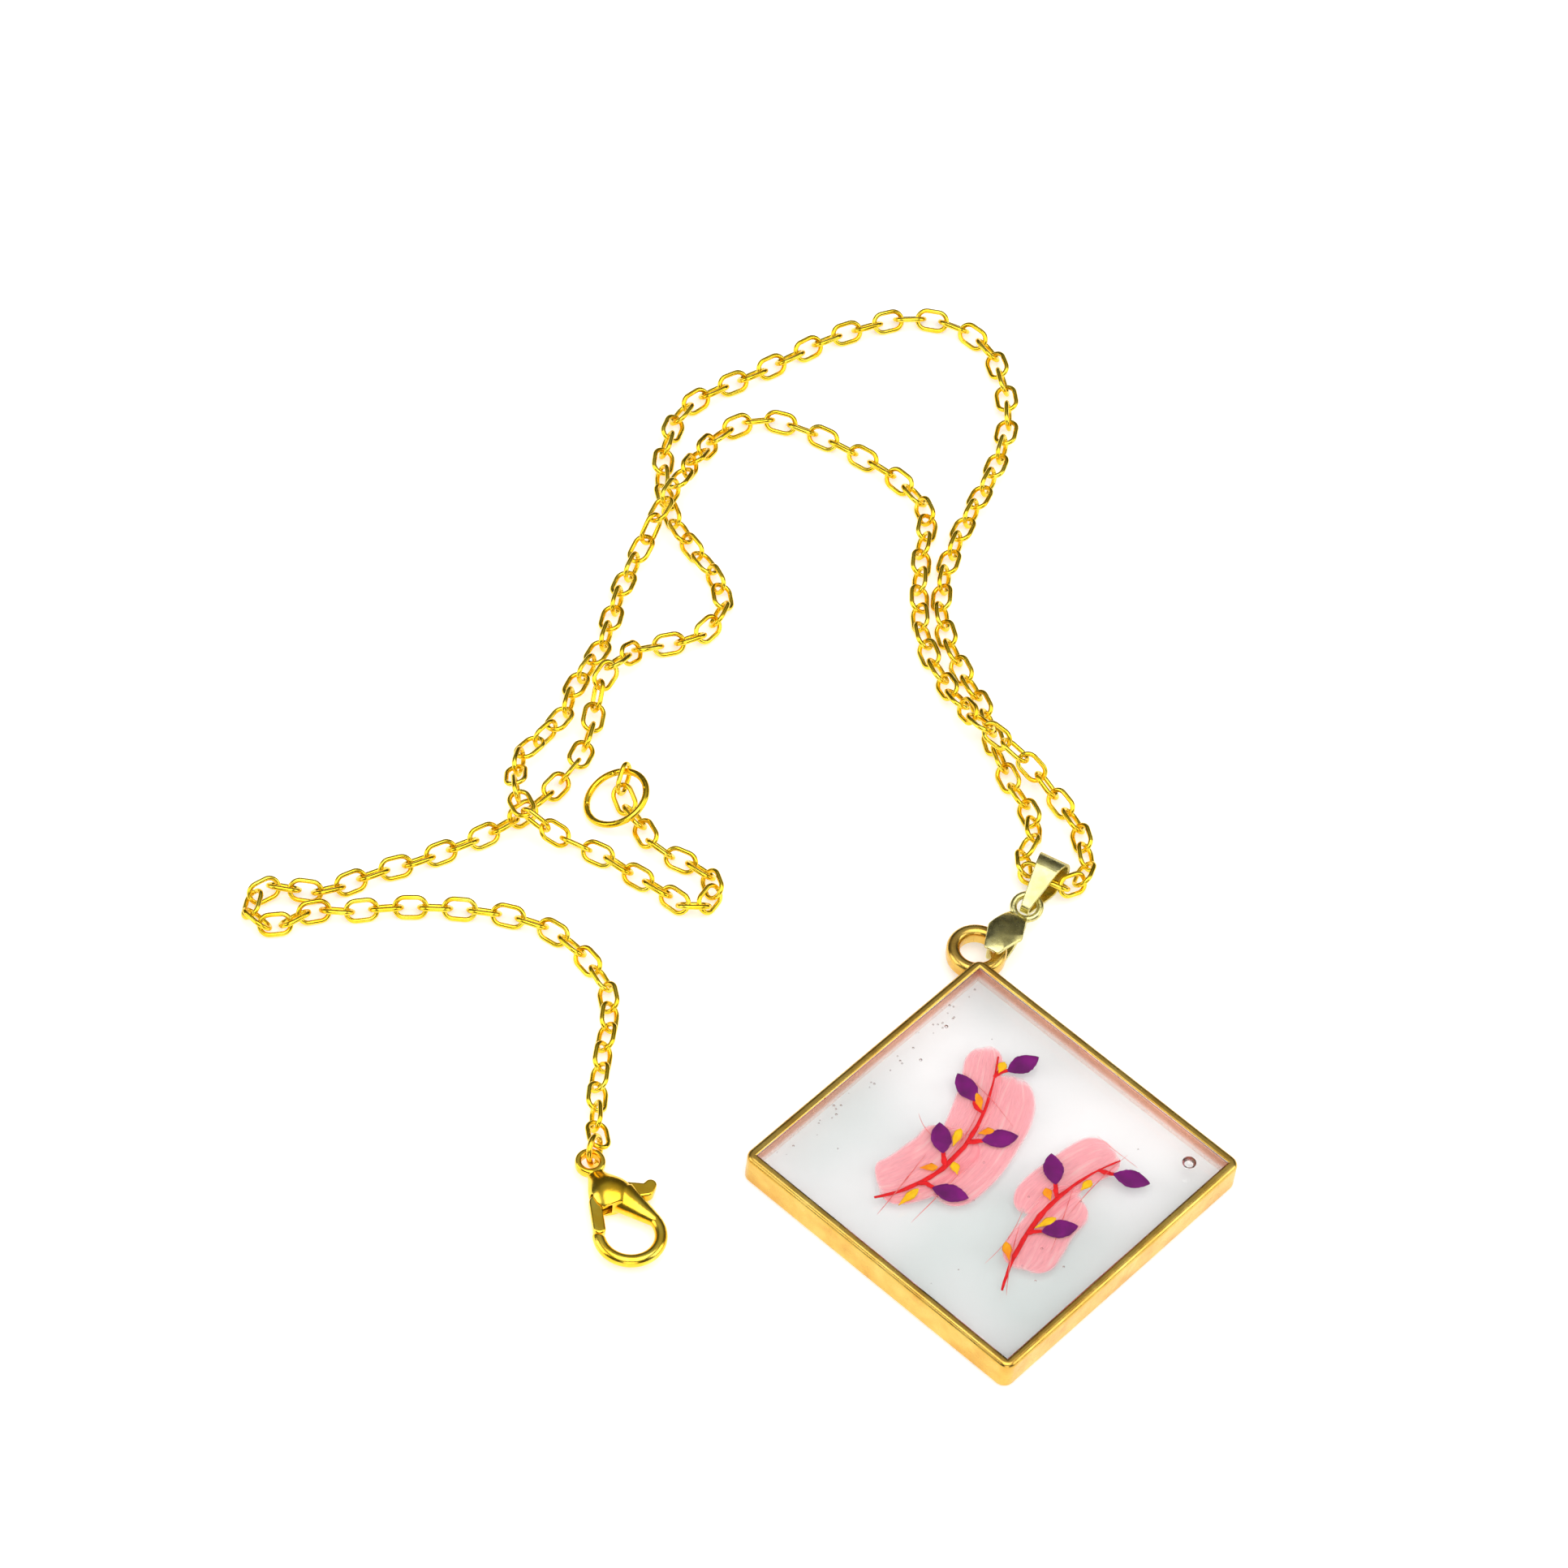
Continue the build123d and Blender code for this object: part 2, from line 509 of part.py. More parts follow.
joints = fitted_joints()
planes = link_planes(joints)
bail_joint = min(
    range(len(joints)),
    key=lambda number: math.dist(joints[number][:2], (bail_eye.X, bail_eye.Y)),
)
chain_ring_side = Compound([link.part.solid().moved(plane.location) for plane in planes[:bail_joint]])
chain_clasp_side = Compound([link.part.solid().moved(plane.location) for plane in planes[bail_joint:]])
chain_ring_side.label = "chain_ring_side"
chain_clasp_side.label = "chain_clasp_side"

# End ring: it leans on the surface at one side and on the chain at the other
first_link = planes[0].x_dir
end_seat = (END_RING_WIRE + CHAIN_WIRE) / 2 + RING_PLAY - LINK_OVERREACH
hang = polar(END_RING_RADIUS, END_RING_HANG)
lean = math.radians(END_RING_TILT)
end_ring_plane = Plane(
    origin=(
        joints[0][0] + end_seat * first_link.X - hang.X * math.cos(lean),
        joints[0][1] + end_seat * first_link.Y - hang.Y,
        END_RING_RADIUS * math.sin(lean) + END_RING_WIRE / 2 + FLOOR_GAP,
    ),
    x_dir=(math.cos(lean), 0, math.sin(lean)),
    z_dir=(-math.sin(lean), 0, math.cos(lean)),
)
with BuildPart(end_ring_plane) as end_ring:
    Torus(END_RING_RADIUS, END_RING_WIRE / 2)
end_ring.part.label = "end_ring"

# Clasp ring: it stands between the last link and the clasp's eye
last_link = planes[-1].x_dir
clasp_seat = (CLASP_RING_WIRE + CHAIN_WIRE) / 2 + RING_PLAY - LINK_OVERREACH
clasp_ring_way = polar(1, CLASP_RING_TURN)
stand = math.radians(CLASP_RING_TILT)
clasp_ring_centre = Vector(
    joints[-1][0] - clasp_seat * last_link.X, joints[-1][1] - clasp_seat * last_link.Y
) - polar(CLASP_RING_RADIUS, CLASP_RING_TURN)
clasp_ring_level = CLASP_RING_RADIUS * math.sin(stand) + CLASP_RING_WIRE / 2 + FLOOR_GAP
clasp_ring_plane = Plane(
    origin=(clasp_ring_centre.X, clasp_ring_centre.Y, clasp_ring_level),
    x_dir=(clasp_ring_way.X, clasp_ring_way.Y, 0),
    z_dir=(clasp_ring_way.Y * math.sin(stand), -clasp_ring_way.X * math.sin(stand), math.cos(stand)),
)
with BuildPart(clasp_ring_plane) as clasp_ring:
    Torus(CLASP_RING_RADIUS, CLASP_RING_WIRE / 2)
clasp_ring.part.label = "clasp_ring"

# Clasp: its eye hangs on the near side of the clasp ring
clasp_eye = clasp_ring_centre - polar(CLASP_RING_RADIUS - PLAY, CLASP_RING_TURN)
clasp_u = polar(1, CLASP_TURN)
clasp_origin = clasp_eye - polar(EYE_V, CLASP_TURN + 90)
clasp_plan = Plane(origin=(clasp_origin.X, clasp_origin.Y, 0), x_dir=(clasp_u.X, clasp_u.Y, 0))
clasp_middle = clasp_plan.offset(CLASP_HALF_HEIGHT)
hook_centre = Vector(HOOK_U, HOOK_V)
nose_reach = GATE_REACH + GATE_RADIUS + PLAY
slot_height = LEVER_THICK + 2 * PLAY
pin_height = 2 * (CLASP_HALF_HEIGHT - PIN_COVER)
bore_height = pin_height + 2 * PIN_SLACK
head_way = EYE_V - EYE_RADIUS - HEAD_FOOT_V


def across(point, degrees):
    """The plane that stands across the clasp at a plan point and looks along a direction."""
    way = polar(1, degrees)
    upright = Plane(origin=(point.X, point.Y, 0), x_dir=(way.Y, -way.X, 0), z_dir=(way.X, way.Y, 0))
    return clasp_middle * upright


def from_pivot(length, degrees):
    """A point of the clasp's plan, by its distance and direction from the pivot."""
    reach = polar(length, degrees)
    return (PIVOT_U + reach.X, PIVOT_V + reach.Y)


def lever_outline(turn, room):
    """The lever's plan, turned about the pivot and grown by room: straight sides along its corners."""
    with BuildSketch() as outline:
        for first, second in zip(LEVER, LEVER[1:]):
            with BuildSketch(mode=Mode.PRIVATE) as limb:
                with BuildLine():
                    CenterArc(from_pivot(first.reach, first.turn + turn), first.radius + room, 0, 360)
                    CenterArc(from_pivot(second.reach, second.turn + turn), second.radius + room, 0, 360)
                make_hull()
            add(limb.sketch)
    return outline.sketch


with BuildPart() as clasp_body:
    with BuildSketch(across(hook_centre + polar(HOOK_RADIUS, NOSE_TURN), NOSE_TURN + 90)):
        Circle(HOOK_WIRE / 2)
    hook_axis = Axis(clasp_middle.from_local_coords(hook_centre), (0, 0, 1))
    revolve(axis=hook_axis, revolution_arc=SHOULDER_TURN + 360 - NOSE_TURN)
    with BuildSketch(clasp_plan):
        with BuildLine():
            CenterArc((PIVOT_U, PIVOT_V), nose_reach, GAP_TURN, GAP_SWEEP)
            Polyline(
                from_pivot(nose_reach, GAP_TURN + GAP_SWEEP),
                (PIVOT_U, PIVOT_V),
                from_pivot(nose_reach, GAP_TURN),
            )
        make_face()
    extrude(amount=2 * CLASP_HALF_HEIGHT, mode=Mode.SUBTRACT)
    with BuildSketch(across(hook_centre + polar(HOOK_RADIUS, SHOULDER_TURN), SHOULDER_TURN + 90)):
        Circle(HOOK_WIRE / 2)
    with BuildSketch(across(Vector(SHOULDER_U, SHOULDER_V), SHOULDER_LEAN + 90)):
        Ellipse(SHOULDER_HALF_WIDTH, SHOULDER_HALF_HEIGHT)
    loft()
    for section in HEAD:
        middle = Vector(PIVOT_U * section.offset, HEAD_FOOT_V + head_way * section.place)
        with BuildSketch(across(middle, 90)):
            Ellipse(HEAD_HALF_WIDTH * section.half_width, CLASP_HALF_HEIGHT * section.half_height)
    loft()
    with BuildSketch(across(Vector(0, EYE_V), 0)):
        with Locations(((EYE_RADIUS + EYE_HOLE) / 2, 0)):
            RectangleRounded(EYE_RADIUS - EYE_HOLE, EYE_HEIGHT, EYE_EASE)
    revolve(axis=Axis(clasp_middle.from_local_coords((0, EYE_V)), (0, 0, 1)))
    with BuildSketch(clasp_middle.offset(-bore_height / 2)):
        with Locations((PIVOT_U, PIVOT_V)):
            Circle(PIN_RADIUS + PIN_SLACK)
    extrude(amount=bore_height, mode=Mode.SUBTRACT)
    with BuildSketch(clasp_middle.offset(-slot_height / 2)):
        for step in range(SLOT_STEPS + 1):
            add(lever_outline(LEVER_TRAVEL * step / SLOT_STEPS, PLAY))
    extrude(amount=slot_height, mode=Mode.SUBTRACT)
clasp_body.part.label = "clasp_body"

# Lever: one rounded plate on the pin, the gate that closes the hook and the thumb tab at its ends
with BuildPart() as clasp_lever:
    with BuildSketch(clasp_middle.offset(-LEVER_THICK / 2)):
        add(lever_outline(0, 0))
    extrude(amount=LEVER_THICK)
    rims = clasp_lever.edges().filter_by(Axis.Z, reverse=True)
    fillet(rims, LEVER_EASE)
    with BuildSketch(clasp_plan):
        with Locations((PIVOT_U, PIVOT_V)):
            Circle(PIN_RADIUS + PIN_SLACK)
    extrude(amount=2 * CLASP_HALF_HEIGHT, mode=Mode.SUBTRACT)
clasp_lever.part.label = "clasp_lever"

# Pin: it sits in blind bores in both cheeks of the head
with BuildPart() as clasp_pin:
    with BuildSketch(clasp_middle.offset(-pin_height / 2)):
        with Locations((PIVOT_U, PIVOT_V)):
            Circle(PIN_RADIUS)
    extrude(amount=pin_height)
clasp_pin.part.label = "clasp_pin"

print("links", len(planes), "bail joint", bail_joint, "chain length", round(len(planes) * LINK_PITCH, 1))

os.makedirs("parts", exist_ok=True)
export_step(bezel_frame.part, "parts/bezel_frame.step")
export_step(resin.part, "parts/resin.step")
for number, leaf in enumerate(leaves, 1):
    leaf.label = f"leaf_{number}"
    export_step(leaf, f"parts/leaf_{number}.step")
export_step(pinch_clip.part, "parts/pinch_clip.step")
export_step(bail_loop.part, "parts/bail_loop.step")
export_step(chain_ring_side, "parts/chain_ring_side.step")
export_step(chain_clasp_side, "parts/chain_clasp_side.step")
export_step(end_ring.part, "parts/end_ring.step")
export_step(clasp_ring.part, "parts/clasp_ring.step")
export_step(clasp_body.part, "parts/clasp_body.step")
export_step(clasp_lever.part, "parts/clasp_lever.step")
export_step(clasp_pin.part, "parts/clasp_pin.step")
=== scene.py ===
import math
import random
from collections import namedtuple

import bmesh
import bpy
from mathutils import Matrix, Vector, noise


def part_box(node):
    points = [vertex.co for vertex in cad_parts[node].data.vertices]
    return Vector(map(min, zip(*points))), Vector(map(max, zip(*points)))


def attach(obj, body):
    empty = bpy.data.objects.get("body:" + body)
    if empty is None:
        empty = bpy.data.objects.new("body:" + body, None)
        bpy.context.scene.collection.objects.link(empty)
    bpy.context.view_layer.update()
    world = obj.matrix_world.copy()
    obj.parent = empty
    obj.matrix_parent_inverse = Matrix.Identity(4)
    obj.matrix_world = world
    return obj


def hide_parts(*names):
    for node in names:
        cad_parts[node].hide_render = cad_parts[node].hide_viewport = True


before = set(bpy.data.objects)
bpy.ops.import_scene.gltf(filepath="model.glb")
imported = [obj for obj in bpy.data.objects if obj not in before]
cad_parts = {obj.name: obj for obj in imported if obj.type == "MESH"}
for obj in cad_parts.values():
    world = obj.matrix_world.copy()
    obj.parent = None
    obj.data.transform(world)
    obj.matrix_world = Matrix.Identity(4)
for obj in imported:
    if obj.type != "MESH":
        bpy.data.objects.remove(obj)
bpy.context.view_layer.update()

# A square resin pendant in a metal bezel, on a cable chain that lies open on a pale table.
# Sizes are in millimetres, as the maker gives them, and MM turns them into the scene's metres.
MM = 0.001
BODY = "necklace"
LEVER_BODY = "clasp_lever"

# The gap under a lying link, and how finely wires are drawn
FLOOR_GAP = 0.06
WIRE_SIDES = 16
BEND_STEPS = 8

# Bezel and the resin in it
BEZEL_SIDE = 34.5
BEZEL_WALL = 1.0
BEZEL_HEIGHT = 3.6
RESIN_DROP = 0.25
RESIN_FOOT = 0.03
RESIN_BITE = 0.03
MENISCUS_RISE = 0.16
MENISCUS_WIDTH = 0.9
RESIN_SWELL = 0.05
RESIN_CELLS = 72
MENISCUS_FALL = 3
SWELL_SCALE = 0.12
OPENING_HALF = BEZEL_SIDE / 2 - BEZEL_WALL
HALF_DIAGONAL = OPENING_HALF * math.sqrt(2)

# Leaves of the picture, as the solids have them
LEAF_LENGTH = 3.7
LEAF_WIDTH = 2.1
LEAF_THICK = 0.25
LEAF_DEPTH = 1.45
LEAF_STALK = 1.5
LEAF_SPLAY = 48
LEAF_STEPS = 20
LEAF_RINGS = 5
# A sprig's stem in shares of the half diagonal, and the shares along it of its first and last leaf
Sprig = namedtuple("Sprig", "root middle tip leaves first last")
SPRIGS = [
    Sprig((-0.46, -0.16), (-0.06, -0.04), (0.05, 0.52), 5, 0.18, 0.94),
    Sprig((0.02, -0.58), (0.16, -0.16), (0.52, 0.02), 3, 0.30, 0.90),
]

# Cable chain
CHAIN_WIRE = 0.5
LINK_WIDTH = 2.5
LINK_PITCH = 2.45
LINK_PLAY = 0.22
LINK_RADIUS = (LINK_WIDTH - CHAIN_WIRE) / 2
LINK_STRAIGHT = LINK_PITCH + CHAIN_WIRE + LINK_PLAY - 2 * LINK_RADIUS
# The chain's two nodes meet at this joint, in the bail's eye
BAIL_EYE = (7.57391, 35.467)
BAIL_JOINT = 78

# The chain's route over the table, from the end ring through the bail to the clasp's ring,
# measured from the bail's eye. Lift is the height above what a link of that tilt needs, tilt turns
# the links about the route in degrees, and slack closes them up, as a share of the pitch.
Point = namedtuple("Point", "x y lift tilt slack", defaults=(0, 45, 0))
ROUTE = [
    Point(-41.94, 12.78, 0.97, 85), Point(-42.05, 11.57, 1.22, 69, 0.03),
    Point(-42.7, 10.12, 0, 58, 0.07), Point(-41.25, 7.55, 0.05, 44), Point(-39.89, 4.72, 0.07, 58),
    Point(-39.36, 3.27, 0.19, 55, 0.02), Point(-37.5, 2.5), Point(-35.1, 1.2, 0, 45, 0.13),
    Point(-33.5, -0.5, 0, 45, 0.13), Point(-33.7, -2.9, 0.1, 45, 0.13),
    Point(-35.6, -4, 0.1, 45, 0.13), Point(-37.5, -3.1, 0.1, 45, 0.13), Point(-39, -1.5, 0.1),
    Point(-41, -0.3), Point(-44.2, 2.3), Point(-47.4, 3.8, 0.1, 40), Point(-49.3, 4.4, 0.7, 20),
    Point(-51, 4.8, 1.9, 10), Point(-52.7, 6.3, 2.3, 10), Point(-53.3, 8.7, 2, 15),
    Point(-53.2, 11.7, 0.9, 20), Point(-52.8, 14.6, 0.1, 20), Point(-50.1, 17.7, 0, 15),
    Point(-48.1, 20.4, 0, 15), Point(-47.1, 23.8, 0, 15), Point(-44, 29.6, 0, 15),
    Point(-42.9, 33.7, 0, 15), Point(-42, 36.9, 0, 15), Point(-40.2, 41.4, 0.1, 15),
    Point(-39.1, 43.6, 0.8, 20), Point(-38.2, 45.2, 2.3, 30), Point(-36.6, 48.5, 2.5, 30),
    Point(-35.1, 51.3, 2.3, 30), Point(-33.5, 54.7, 1.1, 40), Point(-32, 57.5, 0.2),
    Point(-29.6, 59.9), Point(-26.1, 61.2), Point(-21.2, 59.5), Point(-17.1, 57),
    Point(-13.2, 54.1), Point(-10.6, 51.1, 0, 40), Point(-9.3, 47.7, 0, 30),
    Point(-10, 44.6, 0, 30), Point(-10.5, 41, 0, 30), Point(-10.8, 37.7, 0, 30),
    Point(-10.9, 34, 0, 40), Point(-10.4, 30.1, 0.1), Point(-9.1, 26.4, 0.1),
    Point(-7.5, 22.1, 1.2, 35), Point(-5.6, 18.2, 2.6, 30), Point(-3.3, 15.9, 2.6, 30),
    Point(-1.2, 14.1, 1.9, 35), Point(0.7, 12.7, 0.5), Point(2.2, 10.3), Point(3.6, 8),
    Point(4.3, 4.5, 0.2), Point(4.4, 1.98, 0.21, 45, 0.07), Point(3.08, -0.6, 0.53, 47, 0.09),
    Point(1.51, -1.07, 0.87, 51, 0.08), Point(0.07, -0.4, 1.11, 40, 0.12),
    Point(-2.07, 0.95, 0.73, 47, 0.08), Point(-2.29, 2.52, 0.39, 47), Point(-0.76, 5.99, 0.58, 46),
    Point(-0.8, 8.6), Point(-2.3, 11.8), Point(-3.6, 15.4, 0, 35), Point(-4.3, 19, 0, 35),
    Point(-5, 22.6), Point(-6.4, 26), Point(-7.7, 29.7, 0, 40), Point(-8.6, 34, 0, 40),
    Point(-8.4, 38.1, 0, 30), Point(-7.5, 41.9, 0, 20), Point(-6, 45.9, 0, 20),
    Point(-4, 50.3, 0, 20), Point(-2, 54.6, 0, 20), Point(-0.7, 58.6, 0, 15), Point(0, 62.1, 0, 15),
    Point(-0.3, 67.1, 0, 25), Point(-1.5, 71.9), Point(-4.9, 75.2), Point(-9.9, 76.2),
    Point(-14.7, 74.7), Point(-19.1, 72.7), Point(-23.1, 70), Point(-27.3, 67.3),
    Point(-31.5, 64.9), Point(-34.6, 62.3), Point(-36.8, 56.5, 0, 20), Point(-37.2, 51, 0, 30),
    Point(-35.6, 45.2, 0, 30), Point(-33.8, 42.1, 0, 30), Point(-31.8, 38.4, 0, 20),
    Point(-31.3, 35.3, 0, 25), Point(-32.4, 32.8, 0.1, 40, 0.05), Point(-34.2, 31, 0.1, 45, 0.05),
    Point(-38.6, 29.7), Point(-40.6, 28.7, 0.6), Point(-42.3, 26.5, 1.8),
    Point(-43.7, 24.7, 2.1, 40), Point(-44.6, 23, 1.6, 30), Point(-44.9, 21.3, 0.5, 20),
    Point(-45.6, 17.8, 0, 15), Point(-46.7, 14.6, 0, 15), Point(-50.4, 9.5, 0, 35),
    Point(-55.4, 5.3), Point(-58.4, 3.6), Point(-64.5, 0.7), Point(-67, -0.1), Point(-71.4, -2.3),
    Point(-74.4, -3.1, 0.3, 45, 0.13), Point(-76.5, -2.4, 0.5, 45, 0.13),
    Point(-78.6, -2.8, 0.3, 45, 0.13), Point(-79.9, -4.8, 0.1, 45, 0.13),
    Point(-78.8, -6.9, 0.1, 45, 0.13), Point(-76.6, -7, 0.1, 45, 0.13),
    Point(-74.7, -5.7, 0.1, 45, 0.13), Point(-72.9, -5), Point(-70.7, -5.2), Point(-65.5, -4.5),
    Point(-58.3, -4.6), Point(-53.3, -5.5), Point(-49.4, -7.3), Point(-45.2, -12.4),
    Point(-44.2, -15.7), Point(-44.9, -21.1), Point(-45.5, -25),
    Point(-45.95, -30.24, 0.02, 17, 0.03), Point(-45.64, -33.15, 0.37, 22),
]
ROUTE_STEPS = 16
HALVINGS = 30
LEAST_PITCH = 0.98
# The bends stop just short of the middle, so that no two of their points coincide
BEND_SHARE = 0.9999

# A wire ring or link: the bends' radius, the straight between them, the wire, and steps in a bend
WireForm = namedtuple("WireForm", "radius straight wire steps")
# A ring is round, with next to no straight between its bends
ROUND = 0.002
LINK_FORM = WireForm(LINK_RADIUS, LINK_STRAIGHT, CHAIN_WIRE, BEND_STEPS)
END_RING_FORM = WireForm(3.25, ROUND, 0.7, 16)
CLASP_RING_FORM = WireForm(1.45, ROUND, 0.6, 12)
# How the end ring and the clasp ring lean and turn, in degrees
END_RING_TILT = 26
CLASP_RING_TURN = 71
CLASP_RING_TILT = 74


def collected(piece):
    """Puts a new object into the scene."""
    bpy.context.scene.collection.objects.link(piece)
    return piece


def mesh_piece(name, mesh, material, body=BODY):
    """A finished piece of the necklace from its mesh, riding on its body."""
    piece = collected(bpy.data.objects.new(name, mesh))
    mesh.materials.clear()
    mesh.materials.append(material)
    mesh.shade_smooth()
    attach(piece, body)
    return piece


def finished_mesh(name, shape):
    """The mesh of a shape, which is then let go."""
    mesh = bpy.data.meshes.new(name)
    shape.to_mesh(mesh)
    shape.free()
    return mesh


def closed_piece(name, shape, material):
    """A piece of closed forms, their faces turned outward."""
    bmesh.ops.recalc_face_normals(shape, faces=shape.faces)
    return mesh_piece(name, finished_mesh(name, shape), material)


def ring_band(shape, first, second):
    """Faces all round between two rings of corners."""
    for number in range(len(first)):
        after = (number + 1) % len(first)
        shape.faces.new((first[number], first[after], second[after], second[number]))


def sheet_faces(shape, rows):
    """Faces between neighbouring rows of corners."""
    return [
        shape.faces.new((first[j], first[j + 1], second[j + 1], second[j]))
        for first, second in zip(rows, rows[1:]) for j in range(len(first) - 1)
    ]


def way_of(turn):
    """A plan direction from its turn."""
    return Vector((math.cos(turn), math.sin(turn)))


def beside(way):
    """A plan direction a quarter turn to the left."""
    return Vector((-way.y, way.x))


# Materials
def new_material(name):
    """A material with its shader and object coordinates ready."""
    material = bpy.data.materials.new(name)
    material.use_nodes = True
    nodes = material.node_tree.nodes
    shader = nodes["Principled BSDF"]
    place = nodes.new("ShaderNodeTexCoord").outputs["Object"]
    return material, nodes, material.node_tree.links, shader, place


def wired(nodes, links, kind, sources):
    """A new node, with each named input fed from an output."""
    node = nodes.new(kind)
    for name, source in sources.items():
        links.new(source, node.inputs[name])
    return node


def calculated(nodes, links, operation, first, second):
    """What a sum gives on two values, each one a number or an output."""
    step = nodes.new("ShaderNodeMath")
    step.operation = operation
    for socket, value in zip(step.inputs, (first, second)):
        if isinstance(value, (int, float)):
            socket.default_value = value
        else:
            links.new(value, socket)
    return step.outputs["Value"]


def mapped(nodes, links, place, field, value):
    """Coordinates turned or scaled by a value for each axis."""
    mapping = wired(nodes, links, "ShaderNodeMapping", {"Vector": place})
    mapping.inputs[field].default_value = value
    return mapping.outputs["Vector"]


def noise_of(nodes, links, place, scale, detail=3):
    """Noise over the piece; scale counts its blotches per millimetre."""
    texture = wired(nodes, links, "ShaderNodeTexNoise", {"Vector": place})
    texture.inputs["Scale"].default_value = scale / MM
    texture.inputs["Detail"].default_value = detail
    return texture.outputs["Fac"]


def ramp_of(nodes, links, value, stops):
    """A colour ramp over a value, from (place, colour) stops, its two ends first."""
    ramp = wired(nodes, links, "ShaderNodeValToRGB", {"Fac": value})
    elements = ramp.color_ramp.elements
    for number, (place, colour) in enumerate(stops):
        element = elements[number] if number < 2 else elements.new(place)
        element.position = place
        element.color = (*colour, 1)
    return ramp.outputs["Color"]


def ranged(nodes, links, value, low, high, start=0.3, end=0.7):
    """A value spread from low to high between two levels of it."""
    spread = wired(nodes, links, "ShaderNodeMapRange", {"Value": value})
    spread.inputs["From Min"].default_value = start
    spread.inputs["From Max"].default_value = end
    spread.inputs["To Min"].default_value = low
    spread.inputs["To Max"].default_value = high
    return spread.outputs["Result"]


def bumped(nodes, links, shader, height, strength, distance):
    """Fine relief on a shader; distance is its depth in millimetres."""
    bump = wired(nodes, links, "ShaderNodeBump", {"Height": height})
    bump.inputs["Strength"].default_value = strength
    bump.inputs["Distance"].default_value = distance * MM
    links.new(bump.outputs["Normal"], shader.inputs["Normal"])


def gold_plate(name, deep, mid, bright, roughness, grain, relief):
    """Plated metal: colour that wanders a little, uneven polish and a fine grain."""
    material, nodes, links, shader, place = new_material(name)
    shader.inputs["Metallic"].default_value = 1
    blotch = noise_of(nodes, links, place, 0.5)
    colour = ramp_of(nodes, links, blotch, ((0.3, deep), (0.7, bright), (0.5, mid)))
    links.new(colour, shader.inputs["Base Color"])
    fine = noise_of(nodes, links, place, grain, 4)
    links.new(ranged(nodes, links, fine, *roughness), shader.inputs["Roughness"])
    bumped(nodes, links, shader, fine, 0.5, relief)
    return material


# Heights between which the inner wall's painted reflection, a copper tint, pales, and how far behind the
# wall's face it ends
REFLECTION_FADE = (0.9, 2.2)
REFLECTION_EDGE = (0.02, 0.06)


def bezel_gold():
    """Cast pale gold, mottled on its walls, with a painted coppery reflection on its inner wall."""
    material, nodes, links, shader, place = new_material("bezel_pale_gold")
    shader.inputs["Metallic"].default_value = 1
    outside = ramp_of(
        nodes, links, noise_of(nodes, links, place, 0.35),
        ((0.32, (0.72, 0.40, 0.07)), (0.68, (0.85, 0.58, 0.14)), (0.5, (0.79, 0.50, 0.10))),
    )
    # Painted reflection: the inner wall takes a copper tint in place of the gold and pink it would mirror
    turned = mapped(nodes, links, place, "Rotation", (0, 0, math.radians(45)))
    size = nodes.new("ShaderNodeVectorMath")
    size.operation = "ABSOLUTE"
    links.new(turned, size.inputs[0])
    split = wired(nodes, links, "ShaderNodeSeparateXYZ", {"Vector": size.outputs["Vector"]})
    widest = calculated(nodes, links, "MAXIMUM", split.outputs["X"], split.outputs["Y"])
    reflection_mask = ranged(nodes, links, widest, 1, 0, *((OPENING_HALF + edge) * MM for edge in REFLECTION_EDGE))
    depth = wired(nodes, links, "ShaderNodeSeparateXYZ", {"Vector": place})
    reflection_height = ranged(nodes, links, depth.outputs["Z"], 0, 1, *(height * MM for height in REFLECTION_FADE))
    # The painted reflection's colour: pale low on the wall, deep copper higher up
    wall = ramp_of(
        nodes, links, reflection_height,
        ((0.0, (0.97, 0.80, 0.74)), (1.0, (0.74, 0.33, 0.20)), (0.45, (0.90, 0.52, 0.40))),
    )
    copper = nodes.new("ShaderNodeMix")
    copper.data_type = "RGBA"
    links.new(reflection_mask, copper.inputs["Factor"])
    links.new(outside, copper.inputs["A"])
    links.new(wall, copper.inputs["B"])
    links.new(copper.outputs["Result"], shader.inputs["Base Color"])
    fine = noise_of(nodes, links, place, 0.8, 2)
    links.new(ranged(nodes, links, fine, 0.2, 0.32), shader.inputs["Roughness"])
    bumped(nodes, links, shader, fine, 0.2, 0.01)
    return material


RESIN_INDEX = 1.5
AIR_INDEX = 0.667


def clear_material(name, colour, ior, roughness, shadow):
    """Clear stuff that lets the lamps' light through to what lies under it."""
    material, nodes, links, shader, place = new_material(name)
    shader.inputs["Base Color"].default_value = (*colour, 1)
    shader.inputs["Roughness"].default_value = roughness
    shader.inputs["Transmission Weight"].default_value = 1
    shader.inputs["IOR"].default_value = ior
    through = nodes.new("ShaderNodeBsdfTransparent")
    through.inputs["Color"].default_value = (*shadow, 1)
    path = nodes.new("ShaderNodeLightPath")
    mix = nodes.new("ShaderNodeMixShader")
    links.new(path.outputs["Is Shadow Ray"], mix.inputs["Fac"])
    links.new(shader.outputs["BSDF"], mix.inputs[1])
    links.new(through.outputs["BSDF"], mix.inputs[2])
    links.new(mix.outputs["Shader"], nodes["Material Output"].inputs["Surface"])
    return material, nodes, links, shader, place


def cast_resin():
    """Clear resin with a faint wave in its faces."""
    material, nodes, links, shader, place = clear_material(
        "cast_resin", (0.985, 0.98, 0.985), RESIN_INDEX, 0.02, (0.98, 0.98, 0.98)
    )
    bumped(nodes, links, shader, noise_of(nodes, links, place, 0.12, 2), 0.4, 0.05)
    return material


